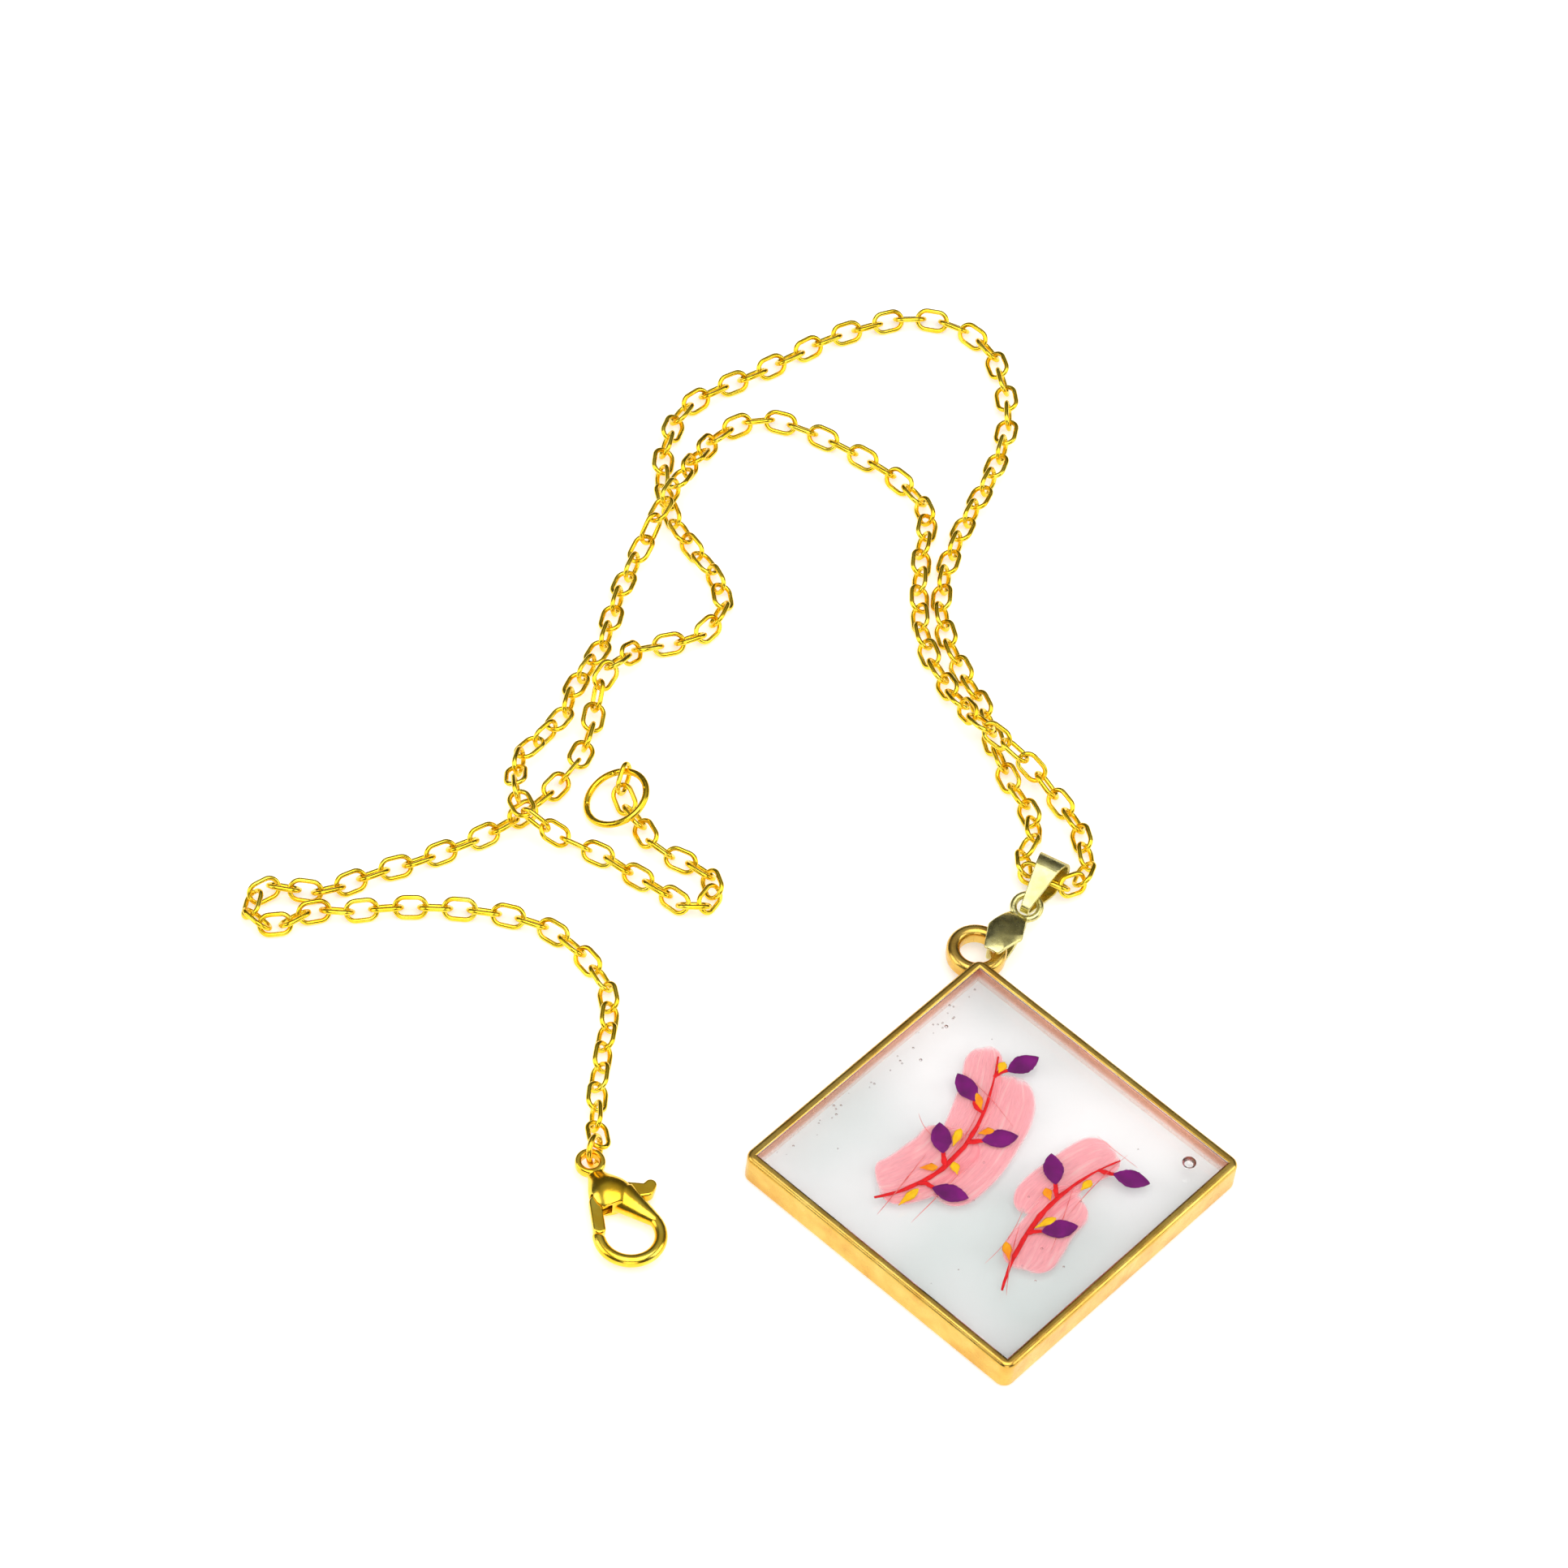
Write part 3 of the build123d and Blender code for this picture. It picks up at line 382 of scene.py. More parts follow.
def resin_back():
    """The resin's back face, tinted grey in blotches as painted shade over the table seen through it."""
    # The back also lets less lamp light through, which shades the table under the resin
    material, nodes, links, shader, place = clear_material(
        "shaded_resin_back", (0.85, 0.86, 0.87), RESIN_INDEX, 0.05, (0.80, 0.81, 0.82)
    )
    # Painted shade: darker and lighter grey blotches over what shows through the back
    painted_shade = noise_of(nodes, links, place, 0.035, 2)
    colour = ramp_of(
        nodes, links, painted_shade,
        ((0.38, (0.65, 0.65, 0.64)), (0.64, (0.41, 0.46, 0.44)), (0.5, (0.52, 0.54, 0.53))),
    )
    links.new(colour, shader.inputs["Base Color"])
    return material


def air_bubble():
    """Air as seen from within the resin."""
    return clear_material("air_in_resin", (1, 1, 1), AIR_INDEX, 0.0, (0.9, 0.9, 0.9))[0]


PAINT_SHEEN = 0.1


def paint(name, dark, light, scale):
    """Opaque enamel paint with brushed-in tone."""
    material, nodes, links, shader, place = new_material(name)
    tone = noise_of(nodes, links, place, scale)
    links.new(ramp_of(nodes, links, tone, ((0.35, dark), (0.65, light))), shader.inputs["Base Color"])
    shader.inputs["Roughness"].default_value = 0.45
    shader.inputs["Specular IOR Level"].default_value = PAINT_SHEEN
    bumped(nodes, links, shader, tone, 0.4, 0.03)
    return material


def pink_wash():
    """Thin pink paint: streaks along the brush, thinner at the stroke's edge and ends."""
    material, nodes, links, shader, _ = new_material("thin_pink_wash")
    uv = nodes.new("ShaderNodeUVMap")
    uv.uv_map = "stroke"
    drawn_out = mapped(nodes, links, uv.outputs["UV"], "Scale", (0.7, 3.2, 1))
    streak = wired(nodes, links, "ShaderNodeTexNoise", {"Vector": drawn_out})
    streak.inputs["Scale"].default_value = 1.6
    streak.inputs["Detail"].default_value = 4
    colour = ramp_of(
        nodes, links, streak.outputs["Fac"],
        ((0.34, (1.0, 0.28, 0.33)), (0.68, (1.0, 0.56, 0.56)), (0.5, (1.0, 0.38, 0.42))),
    )
    links.new(colour, shader.inputs["Base Color"])
    shader.inputs["Roughness"].default_value = 0.5
    shader.inputs["Specular IOR Level"].default_value = PAINT_SHEEN
    body = ranged(nodes, links, streak.outputs["Fac"], 0.6, 0.92, 0.36, 0.56)
    edge = nodes.new("ShaderNodeAttribute")
    edge.attribute_name = "cover"
    cover = calculated(nodes, links, "MULTIPLY", body, edge.outputs["Fac"])
    links.new(cover, shader.inputs["Alpha"])
    return material


# Chain
def level_of(point):
    """The height of the route at a point: a tilted link's half height, and its lift."""
    tilt = math.radians(point.tilt)
    half_height = LINK_RADIUS * max(abs(math.sin(tilt)), abs(math.cos(tilt)))
    return half_height + CHAIN_WIRE / 2 + FLOOR_GAP + point.lift


def mixed(first, second, share):
    """A row of numbers between two rows, or past them."""
    return tuple(a + (b - a) * share for a, b in zip(first, second))


def route_samples():
    """The smooth route through the chosen points, as rows of x, y, z, tilt and slack."""
    rows = [
        (point.x + BAIL_EYE[0], point.y + BAIL_EYE[1], level_of(point), point.tilt, point.slack)
        for point in ROUTE
    ]
    rows.insert(0, mixed(rows[1], rows[0], 2))
    rows.append(mixed(rows[-2], rows[-1], 2))
    samples = []
    for four in zip(rows, rows[1:], rows[2:], rows[3:]):
        times = [0]
        for a, b in zip(four, four[1:]):
            times.append(times[-1] + math.sqrt(math.dist(a[:3], b[:3])))
        for step in range(ROUTE_STEPS):
            now = times[1] + (times[2] - times[1]) * step / ROUTE_STEPS
            blend = list(four)
            # Neighbours are blended over wider and wider spans, and last between the middle two
            for order in (1, 2, 3):
                for i in range(4 - order):
                    low, high = (1, 2) if order == 3 else (i, i + order)
                    share = (now - times[low]) / (times[high] - times[low])
                    blend[i] = mixed(blend[i], blend[i + 1], share)
            samples.append(blend[0])
    samples.append(rows[-2])
    return samples


def walked_joints(samples, pitch):
    """Points along the route, each one slackened pitch in a straight line from the last."""
    joints = [samples[0]]
    here = samples[0]
    for ahead in samples[1:]:
        reach = pitch * (1 - joints[-1][4])
        while math.dist(ahead[:3], joints[-1][:3]) >= reach:
            low, high = 0, 1
            for _ in range(HALVINGS):
                middle = (low + high) / 2
                if math.dist(mixed(here, ahead, middle)[:3], joints[-1][:3]) < reach:
                    low = middle
                else:
                    high = middle
            here = mixed(here, ahead, high)
            joints.append(here)
            reach = pitch * (1 - here[4])
        here = ahead
    return joints


def fitted_joints():
    """The chain's joints, with the pitch eased so that the last one lands on the route's end."""
    samples = route_samples()
    count = len(walked_joints(samples, LINK_PITCH))
    low, high = LINK_PITCH * LEAST_PITCH, LINK_PITCH
    for _ in range(HALVINGS):
        middle = (low + high) / 2
        if len(walked_joints(samples, middle)) > count:
            low = middle
        else:
            high = middle
    return walked_joints(samples, low)


def standing(centre, along, through):
    """A matrix in metres for a ring or link: X along it and Z through its opening."""
    x = Vector(along).normalized()
    z = (Vector(through) - x * x.dot(Vector(through))).normalized()
    turned = Matrix((x, z.cross(x), z)).transposed().to_4x4()
    return Matrix.Translation(Vector(centre) * MM) @ turned


def link_places(joints):
    """One matrix for each link, turned a quarter about the route from the last."""
    places = []
    for number, (first, second) in enumerate(zip(joints, joints[1:])):
        along = Vector(second[:3]) - Vector(first[:3])
        side = Vector((0, 0, 1)).cross(along).normalized()
        up = along.normalized().cross(side)
        turn = math.radians((first[3] + second[3]) / 2 + 90 * (number % 2))
        through = up * math.cos(turn) + side * math.sin(turn)
        places.append(standing(Vector(first[:3]) + along / 2, along, through))
    return places


def link_tree():
    """A node tree: one wire link, repeated at the points of a mesh and turned by each."""
    tree = bpy.data.node_groups.new("wire_links", "GeometryNodeTree")
    face = tree.interface
    face.new_socket("Geometry", in_out="INPUT", socket_type="NodeSocketGeometry")
    for name in ("Radius", "Straight", "Wire"):
        face.new_socket(name, in_out="INPUT", socket_type="NodeSocketFloat")
    for name in ("Bend Steps", "Wire Sides"):
        face.new_socket(name, in_out="INPUT", socket_type="NodeSocketInt")
    face.new_socket("Metal", in_out="INPUT", socket_type="NodeSocketMaterial")
    face.new_socket("Geometry", in_out="OUTPUT", socket_type="NodeSocketGeometry")
    nodes, links = tree.nodes, tree.links
    given = nodes.new("NodeGroupInput").outputs
    span = calculated(nodes, links, "MULTIPLY", given["Radius"], 2)
    length = calculated(nodes, links, "ADD", span, given["Straight"])
    bend = calculated(nodes, links, "MULTIPLY", given["Radius"], BEND_SHARE)
    thickness = calculated(nodes, links, "MULTIPLY", given["Wire"], 0.5)
    box = wired(nodes, links, "GeometryNodeCurvePrimitiveQuadrilateral", {"Width": length, "Height": span})
    bent = wired(nodes, links, "GeometryNodeFilletCurve", {"Curve": box.outputs["Curve"], "Radius": bend})
    bent.inputs["Limit Radius"].default_value = True
    bent.mode = "POLY"
    links.new(given["Bend Steps"], bent.inputs["Count"])
    section = wired(
        nodes, links, "GeometryNodeCurvePrimitiveCircle",
        {"Resolution": given["Wire Sides"], "Radius": thickness},
    )
    wire = wired(
        nodes, links, "GeometryNodeCurveToMesh",
        {"Curve": bent.outputs["Curve"], "Profile Curve": section.outputs["Curve"]},
    )
    turn = nodes.new("GeometryNodeInputNamedAttribute")
    turn.data_type = "FLOAT_VECTOR"
    turn.inputs["Name"].default_value = "turn"
    euler = wired(nodes, links, "FunctionNodeEulerToRotation", {"Euler": turn.outputs["Attribute"]})
    placed = wired(
        nodes, links, "GeometryNodeInstanceOnPoints",
        {
            "Points": given["Geometry"], "Instance": wire.outputs["Mesh"],
            "Rotation": euler.outputs["Rotation"],
        },
    )
    real = wired(nodes, links, "GeometryNodeRealizeInstances", {"Geometry": placed.outputs["Instances"]})
    smooth = wired(nodes, links, "GeometryNodeSetShadeSmooth", {"Geometry": real.outputs["Geometry"]})
    coated = wired(
        nodes, links, "GeometryNodeSetMaterial",
        {"Geometry": smooth.outputs["Geometry"], "Material": given["Metal"]},
    )
    wired(nodes, links, "NodeGroupOutput", {"Geometry": coated.outputs["Geometry"]})
    return tree


def plain_mesh(maker, name):
    """The mesh that a maker's modifiers give; the maker goes."""
    bpy.context.view_layer.update()
    evaluated = maker.evaluated_get(bpy.context.evaluated_depsgraph_get())
    mesh = bpy.data.meshes.new_from_object(evaluated)
    mesh.name = name
    bpy.data.objects.remove(maker)
    return mesh


def wire_piece(name, node, places, form, material, tree):
    """Rings or links of one form at a list of matrices, as one plain mesh that rides on the body."""
    points = bpy.data.meshes.new(name + "_points")
    points.from_pydata([place.translation for place in places], [], [])
    turns = points.attributes.new("turn", "FLOAT_VECTOR", "POINT")
    for number, place in enumerate(places):
        turns.data[number].vector = place.to_euler()
    maker = collected(bpy.data.objects.new(name + "_maker", points))
    modifier = maker.modifiers.new("links", "NODES")
    modifier.node_group = tree
    values = {
        "Radius": form.radius * MM, "Straight": form.straight * MM, "Wire": form.wire * MM,
        "Bend Steps": form.steps, "Wire Sides": WIRE_SIDES, "Metal": material,
    }
    for item in tree.interface.items_tree:
        if item.item_type == "SOCKET" and item.in_out == "INPUT" and item.name in values:
            modifier[item.identifier] = values[item.name]
    piece = mesh_piece(name, plain_mesh(maker, name), material)
    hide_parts(node)
    return piece


# Metal parts that keep the form of their solids
MERGE_DISTANCE = 0.0005
NORMAL_WEIGHT = 60
# Creases sharper than this many degrees stay sharp, in the metal and in the resin
CREASE = 38
RESIN_CREASE = 40


def solid_mesh(node, name, unit=1):
    """A plain mesh of the solid's own triangles, measured in a unit of so many metres."""
    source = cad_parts[node].data
    mesh = bpy.data.meshes.new(name)
    corners = [tuple(vertex.co / unit) for vertex in source.vertices]
    mesh.from_pydata(corners, [], [tuple(polygon.vertices) for polygon in source.polygons])
    return mesh


def polished(node, name, material, body=BODY):
    """The solid's own form with its triangles merged, and its curved faces made smooth."""
    mesh = solid_mesh(node, name)
    merged = bmesh.new()
    merged.from_mesh(mesh)
    bmesh.ops.remove_doubles(merged, verts=merged.verts, dist=MERGE_DISTANCE * MM)
    merged.to_mesh(mesh)
    merged.free()
    piece = mesh_piece(name, mesh, material, body)
    mesh.set_sharp_from_angle(angle=math.radians(CREASE))
    weighted = piece.modifiers.new("even_normals", "WEIGHTED_NORMAL")
    weighted.keep_sharp = True
    weighted.weight = NORMAL_WEIGHT
    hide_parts(node)
    return piece


# The clip's front leaf is a little domed: its fold, its turn, half width, middle height and dome
CLIP_FOLD = (4.568, 30.449)
CLIP_TURN = 57.9
CLIP_HALF_WIDTH = 1.95
CLIP_MIDDLE = 1.8
CLIP_DOME = 0.45


def domed(mesh):
    """Raises the middle of the clip's front leaf, in millimetres, and leaves its edges."""
    way = way_of(math.radians(CLIP_TURN))
    for vertex in mesh.vertices:
        offset = Vector((vertex.co.x - CLIP_FOLD[0], vertex.co.y - CLIP_FOLD[1]))
        if offset.dot(way) < 0:
            share = beside(way).dot(offset) / CLIP_HALF_WIDTH
            front = min(1, max(0, vertex.co.z - CLIP_MIDDLE))
            vertex.co.z += CLIP_DOME * front * max(0, 1 - share**2)


def softened(node, name, material, cell, rounds, shaping=None):
    """The solid's own form with its creases eased: an even fine mesh, smoothed a little."""
    maker = collected(bpy.data.objects.new(name + "_maker", solid_mesh(node, name + "_raw", MM)))
    weld = maker.modifiers.new("merged", "WELD")
    weld.merge_threshold = MERGE_DISTANCE
    even = maker.modifiers.new("even", "REMESH")
    even.mode = "VOXEL"
    even.voxel_size = cell
    eased = maker.modifiers.new("eased", "SMOOTH")
    eased.factor = 0.5
    eased.iterations = rounds
    mesh = plain_mesh(maker, name)
    if shaping:
        shaping(mesh)
    mesh.transform(Matrix.Scale(MM, 4))
    piece = mesh_piece(name, mesh, material)
    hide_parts(node)
    return piece


# Resin
def resin_block(material, back):
    """The cast block: a gently uneven face that climbs to the bezel's walls."""
    top = BEZEL_HEIGHT - RESIN_DROP
    spread = 1 + RESIN_BITE / OPENING_HALF
    shape = bmesh.new()
    rows = []
    for i in range(RESIN_CELLS + 1):
        row = []
        for j in range(RESIN_CELLS + 1):
            # Cells crowd towards the walls, where the face curves up
            u = -math.cos(math.pi * i / RESIN_CELLS) * OPENING_HALF
            v = -math.cos(math.pi * j / RESIN_CELLS) * OPENING_HALF
            edge = OPENING_HALF - max(abs(u), abs(v))
            climb = MENISCUS_RISE * math.exp(-MENISCUS_FALL * edge / MENISCUS_WIDTH)
            swell = RESIN_SWELL * noise.noise(Vector((u, v, 0)) * SWELL_SCALE)
            x = (u - v) * spread / math.sqrt(2)
            y = (u + v) * spread / math.sqrt(2)
            row.append(shape.verts.new(Vector((x, y, top + climb + swell)) * MM))
        rows.append(row)
    sheet_faces(shape, rows)
    rim = [rows[i][0] for i in range(RESIN_CELLS)]
    rim += [rows[RESIN_CELLS][j] for j in range(RESIN_CELLS)]
    rim += [rows[i][RESIN_CELLS] for i in range(RESIN_CELLS, 0, -1)]
    rim += [rows[0][j] for j in range(RESIN_CELLS, 0, -1)]
    foot = [shape.verts.new((corner.co.x, corner.co.y, RESIN_FOOT * MM)) for corner in rim]
    ring_band(shape, foot, rim)
    shape.faces.new(foot[::-1])
    piece = closed_piece("cast_resin_block", shape, material)
    mesh = piece.data
    mesh.materials.append(back)
    for face in mesh.polygons:
        # The back is the face that looks straight down
        if face.normal.z < -0.9:
            face.material_index = 1
    mesh.set_sharp_from_angle(angle=math.radians(RESIN_CREASE))
    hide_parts("resin")
    return piece


# Picture
def sprig_point(sprig, share):
    """A point of the sprig's stem, on a curve pulled towards its middle point."""
    near = (1 - share) ** 2
    bend = 2 * share * (1 - share)
    far = share**2
    return Vector((
        HALF_DIAGONAL * (near * sprig.root[0] + bend * sprig.middle[0] + far * sprig.tip[0]),
        HALF_DIAGONAL * (near * sprig.root[1] + bend * sprig.middle[1] + far * sprig.tip[1]),
    ))


def sprig_turn(sprig, share):
    """The stem's direction in the plan at a point of it."""
    ahead = sprig_point(sprig, share + 0.01) - sprig_point(sprig, share)
    return math.atan2(ahead.y, ahead.x)


def picture_level(rise=0):
    """A height in the resin, as a rise over the leaves' own level."""
    return BEZEL_HEIGHT - RESIN_DROP - LEAF_DEPTH + rise


def leaf_seats():
    """Each leaf's stem point, centre and turn."""
    seats = []
    for sprig in SPRIGS:
        for number in range(sprig.leaves):
            share = sprig.first + (sprig.last - sprig.first) * number / (sprig.leaves - 1)
            stem = sprig_point(sprig, share)
            side = 1 if number % 2 else -1
            turn = sprig_turn(sprig, share) + side * math.radians(LEAF_SPLAY)
            way = way_of(turn)
            seats.append((stem, stem + way * (LEAF_STALK + LEAF_LENGTH / 2), turn))
    return seats


def leaf_edge(draw):
    """An almond outline, once round from a tip, with a slightly uneven width."""
    edge = []
    for number in range(2 * LEAF_STEPS):
        share = (number % LEAF_STEPS) / LEAF_STEPS
        side = 1 if number < LEAF_STEPS else -1
        width = LEAF_WIDTH / 2 * math.sin(math.pi * share) ** 0.85 * draw.uniform(0.93, 1.03)
        edge.append(Vector((side * LEAF_LENGTH * (share - 0.5), side * width)))
    return edge


def leaf_shape(centre, turn, seed):
    """A thin leaf with pointed ends, crowned along its middle on both faces."""
    shape = bmesh.new()
    edge = leaf_edge(random.Random(seed))
    rims = []
    for face_side in (1, -1):
        rows = []
        for ring in range(LEAF_RINGS):
            share = 1 - ring / LEAF_RINGS
            crown = LEAF_THICK * (0.25 + 0.25 * math.sqrt(1 - share**2)) * face_side
            row = [shape.verts.new((p.x * (0.25 + 0.75 * share), p.y * share, crown)) for p in edge]
            rows.append(row)
        for first, second in zip(rows, rows[1:]):
            ring_band(shape, first, second)
        shape.faces.new(rows[-1])
        rims.append(rows[0])
    ring_band(shape, *rims)
    place = Matrix.Translation(Vector((centre.x, centre.y, picture_level())) * MM)
    shape.transform(place @ Matrix.Rotation(turn, 4, "Z") @ Matrix.Scale(MM, 4))
    return shape


def leaves(material):
    """The purple leaves, each one in the place of its solid."""
    for number, (stem, centre, turn) in enumerate(leaf_seats(), 1):
        shape = leaf_shape(centre, turn, number)
        piece = closed_piece(f"purple_leaf_{number}", shape, material)
        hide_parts(f"leaf_{number}")


# A brush stroke's section: shares of its half width and of its thickness
STROKE_SECTION = ((-1, 0), (-0.6, 0.5), (0, 0.5), (0.6, 0.5), (1, 0), (0.6, -0.5), (-0.6, -0.5))


def stroke(shape, draw, points, widths, level, thick, uneven):
    """A flat brush stroke along plan points: a low ribbon with rounded-off sides."""
    rows = []
    last = len(points) - 1
    for number, (point, width) in enumerate(zip(points, widths)):
        before, after = points[max(0, number - 1)], points[min(last, number + 1)]
        side = beside((after - before).normalized())
        left = width / 2 * (1 + draw.uniform(-uneven, uneven))
        right = width / 2 * (1 + draw.uniform(-uneven, uneven))
        row = []
        for across, lift in STROKE_SECTION:
            reach = side * across * (left if across > 0 else right)
            row.append(shape.verts.new(Vector((*(point + reach), level + lift * thick)) * MM))
        rows.append(row)
    for first, second in zip(rows, rows[1:]):
        ring_band(shape, first, second)
    shape.faces.new(rows[0])
    shape.faces.new(rows[-1][::-1])


def bowed(first, last, bow, steps):
    """Plan points from first to last, along a slight bow."""
    side = beside(last - first).normalized()
    shares = [step / steps for step in range(steps + 1)]
    return [first.lerp(last, share) + side * bow * math.sin(math.pi * share) for share in shares]


# Heights of the strokes over the leaves' own, in millimetres
STEM_LEVEL = -0.15
STALK_LEVEL = -0.02
BUD_LEVEL = 0.02
STEM_STEPS = 24
# The share of its sprig where a main stem starts, and how much of the sprig it covers
STEM_START = -0.06
STEM_REACH = 1.1
STEM_END_WIDTH = 0.18
STALK_STEPS = 8
STALK_BOW = 0.3
STEM_SEED = 5


def stems(material):
    """Red main stems, and a stalk out to each leaf."""
    draw = random.Random(STEM_SEED)
    shape = bmesh.new()
    for sprig in SPRIGS:
        points, widths = [], []
        for step in range(STEM_STEPS + 1):
            share = step / STEM_STEPS
            points.append(sprig_point(sprig, STEM_START + STEM_REACH * share))
            swell = 0.5 * math.sin(math.pi * min(1, 0.12 + 0.8 * share)) ** 2
            widths.append(STEM_END_WIDTH + swell * (1 - 0.75 * share))
        stroke(shape, draw, points, widths, picture_level(STEM_LEVEL), 0.12, 0.25)
    for stem, centre, turn in leaf_seats():
        end = centre - way_of(turn) * (LEAF_LENGTH / 2 - 0.25)
        points = bowed(stem, end, draw.uniform(-STALK_BOW, STALK_BOW), STALK_STEPS)
        widths = [
            STEM_END_WIDTH + 0.34 * math.sin(math.pi * (0.15 + 0.7 * step / STALK_STEPS))
            for step in range(STALK_STEPS + 1)
        ]
        stroke(shape, draw, points, widths, picture_level(STALK_LEVEL), 0.1, 0.25)
    closed_piece("red_stems", shape, material)


# Hair-thin strokes: where each begins and ends, as shares of the opening's half diagonal
Hair = namedtuple("Hair", "x1 y1 x2 y2 width")
HAIRS = [
    Hair(-0.50, -0.26, -0.28, 0.05, 0.10), Hair(-0.36, -0.30, -0.12, -0.02, 0.07),
    Hair(-0.20, 0.02, -0.02, 0.34, 0.08), Hair(0.10, 0.20, -0.10, 0.48, 0.06),
    Hair(0.02, -0.66, 0.10, -0.30, 0.09), Hair(0.22, -0.44, 0.34, -0.10, 0.07),
    Hair(0.30, -0.26, 0.58, 0.06, 0.07), Hair(-0.06, -0.50, 0.12, -0.22, 0.06),
    Hair(-0.30, 0.26, -0.22, 0.12, 0.06), Hair(0.46, 0.16, 0.62, 0.00, 0.05),
]
HAIR_STEPS = 12
HAIR_BOW = 0.5
HAIR_SEED = 11


def hair_strokes(material):
    """Hair-thin strokes that trail beside the stems."""
    draw = random.Random(HAIR_SEED)
    shape = bmesh.new()
    for hair in HAIRS:
        first, last = Vector((hair.x1, hair.y1)) * HALF_DIAGONAL, Vector((hair.x2, hair.y2)) * HALF_DIAGONAL
        points = bowed(first, last, draw.uniform(-HAIR_BOW, HAIR_BOW), HAIR_STEPS)
        widths = [
            hair.width * (0.3 + math.sin(math.pi * step / HAIR_STEPS)) for step in range(HAIR_STEPS + 1)
        ]
        stroke(shape, draw, points, widths, picture_level(draw.uniform(-0.2, 0.1)), 0.05, 0.2)
    closed_piece("fine_red_strokes", shape, material)


# Washes: along a sprig between two shares, set off to one side, with a half width and a level
# over the leaves', all in millimetres but the shares
Wash = namedtuple("Wash", "sprig first last offset half_width level")
WASHES = [
    Wash(0, -0.02, 0.62, 1.3, 3.1, -0.5), Wash(0, 0.22, 0.98, -2.0, 2.7, -0.62),
    Wash(0, 0.55, 1.08, 1.2, 2.0, -0.56), Wash(1, 0.08, 0.72, -1.2, 2.7, -0.54),
    Wash(1, 0.42, 1.06, 1.4, 2.5, -0.66),
]
WASH_ROWS = 40
WASH_COLUMNS = 18
# The part of its half length that a wash rounds off over, and how far its sides and ends wander
WASH_ROUND = 0.38
WASH_WANDER = 0.18
WASH_SHIFT = 0.6
WASH_SIDE_FADE = 0.10


def wash_point(number, wash, along, across):
    """A plan point of a wash, and how well its paint covers there."""
    sprig = SPRIGS[wash.sprig]
    share = wash.first + (wash.last - wash.first) * along
    way = way_of(sprig_turn(sprig, share))
    wander = noise.noise(Vector((along * 3.0, across * 0.6, number * 7.1)))
    rounded = max(0, abs(2 * along - 1) - (1 - WASH_ROUND)) / WASH_ROUND
    narrowed = math.sqrt(1 - 0.93 * rounded**2)
    reach = wash.offset + across * wash.half_width * narrowed * (1 + WASH_WANDER * wander)
    point = sprig_point(sprig, share) + beside(way) * reach + way * WASH_SHIFT * wander
    ragged = 0.04 + 0.03 * noise.noise(Vector((across * 4.0, number * 3.3, 0)))
    ends = min(along, 1 - along) / ragged
    sides = (1 - abs(across)) / WASH_SIDE_FADE + 0.15
    return point, max(0.0, min(1.0, ends, sides))


def pink_washes(material):
    """Broad sheer strokes under the sprigs, ragged at their ends."""
    for number, wash in enumerate(WASHES, 1):
        shape = bmesh.new()
        uv_layer = shape.loops.layers.uv.new("stroke")
        cover = shape.verts.layers.float.new("cover")
        places = {}
        rows = []
        for i in range(WASH_ROWS + 1):
            row = []
            for j in range(WASH_COLUMNS + 1):
                along, across = i / WASH_ROWS, 2 * j / WASH_COLUMNS - 1
                point, covered = wash_point(number, wash, along, across)
                corner = shape.verts.new(Vector((*point, picture_level(wash.level))) * MM)
                corner[cover] = covered
                places[corner] = (along * 2, across)
                row.append(corner)
            rows.append(row)
        for face in sheet_faces(shape, rows):
            for loop in face.loops:
                loop[uv_layer].uv = places[loop.vert]
        for face in shape.faces:
            if face.normal.z < 0:
                face.normal_flip()
        name = f"pink_wash_{number}"
        mesh_piece(name, finished_mesh(name, shape), material)


# Buds beside the stems: sprig, share along it, distance to the side, turn, length, and 1 if orange
Bud = namedtuple("Bud", "sprig share offset turn length orange")
BUDS = [
    Bud(0, 0.10, -1.0, 20, 2.1, 0), Bud(0, 0.30, 0.9, -35, 1.3, 1), Bud(0, 0.40, -0.9, 55, 1.1, 0),
    Bud(0, 0.56, 1.1, 10, 1.7, 0), Bud(0, 0.66, -1.1, -50, 1.2, 1), Bud(0, 0.80, 0.8, 30, 1.5, 1),
    Bud(0, 0.99, -0.5, -15, 1.1, 0), Bud(1, 0.16, 0.8, 30, 1.6, 1), Bud(1, 0.42, -0.9, -25, 1.8, 0),
    Bud(1, 0.58, 0.9, 60, 1.1, 1), Bud(1, 0.78, -0.8, 10, 1.2, 0),
]
BUD_GROWTH = 1.35
BUD_STEPS = 10
BUD_SEED = 23


def buds(yellow, orange):
    """Drops of thick paint beside the stems, round at one end and drawn out at the other."""
    draw = random.Random(BUD_SEED)
    shapes = (bmesh.new(), bmesh.new())
    for bud in BUDS:
        sprig = SPRIGS[bud.sprig]
        turn = sprig_turn(sprig, bud.share)
        way = way_of(turn + math.radians(bud.turn))
        start = sprig_point(sprig, bud.share) + beside(way_of(turn)) * bud.offset
        points, widths = [], []
        for step in range(BUD_STEPS + 1):
            share = step / BUD_STEPS
            points.append(start + way * BUD_GROWTH * bud.length * (share - 0.5))
            widths.append(0.08 + 0.86 * math.sin(math.pi * share**1.6) ** 0.8 * draw.uniform(0.85, 1.1))
        stroke(shapes[bud.orange], draw, points, widths, picture_level(BUD_LEVEL), 0.22, 0.1)
    closed_piece("yellow_buds", shapes[0], yellow)
    closed_piece("orange_buds", shapes[1], orange)


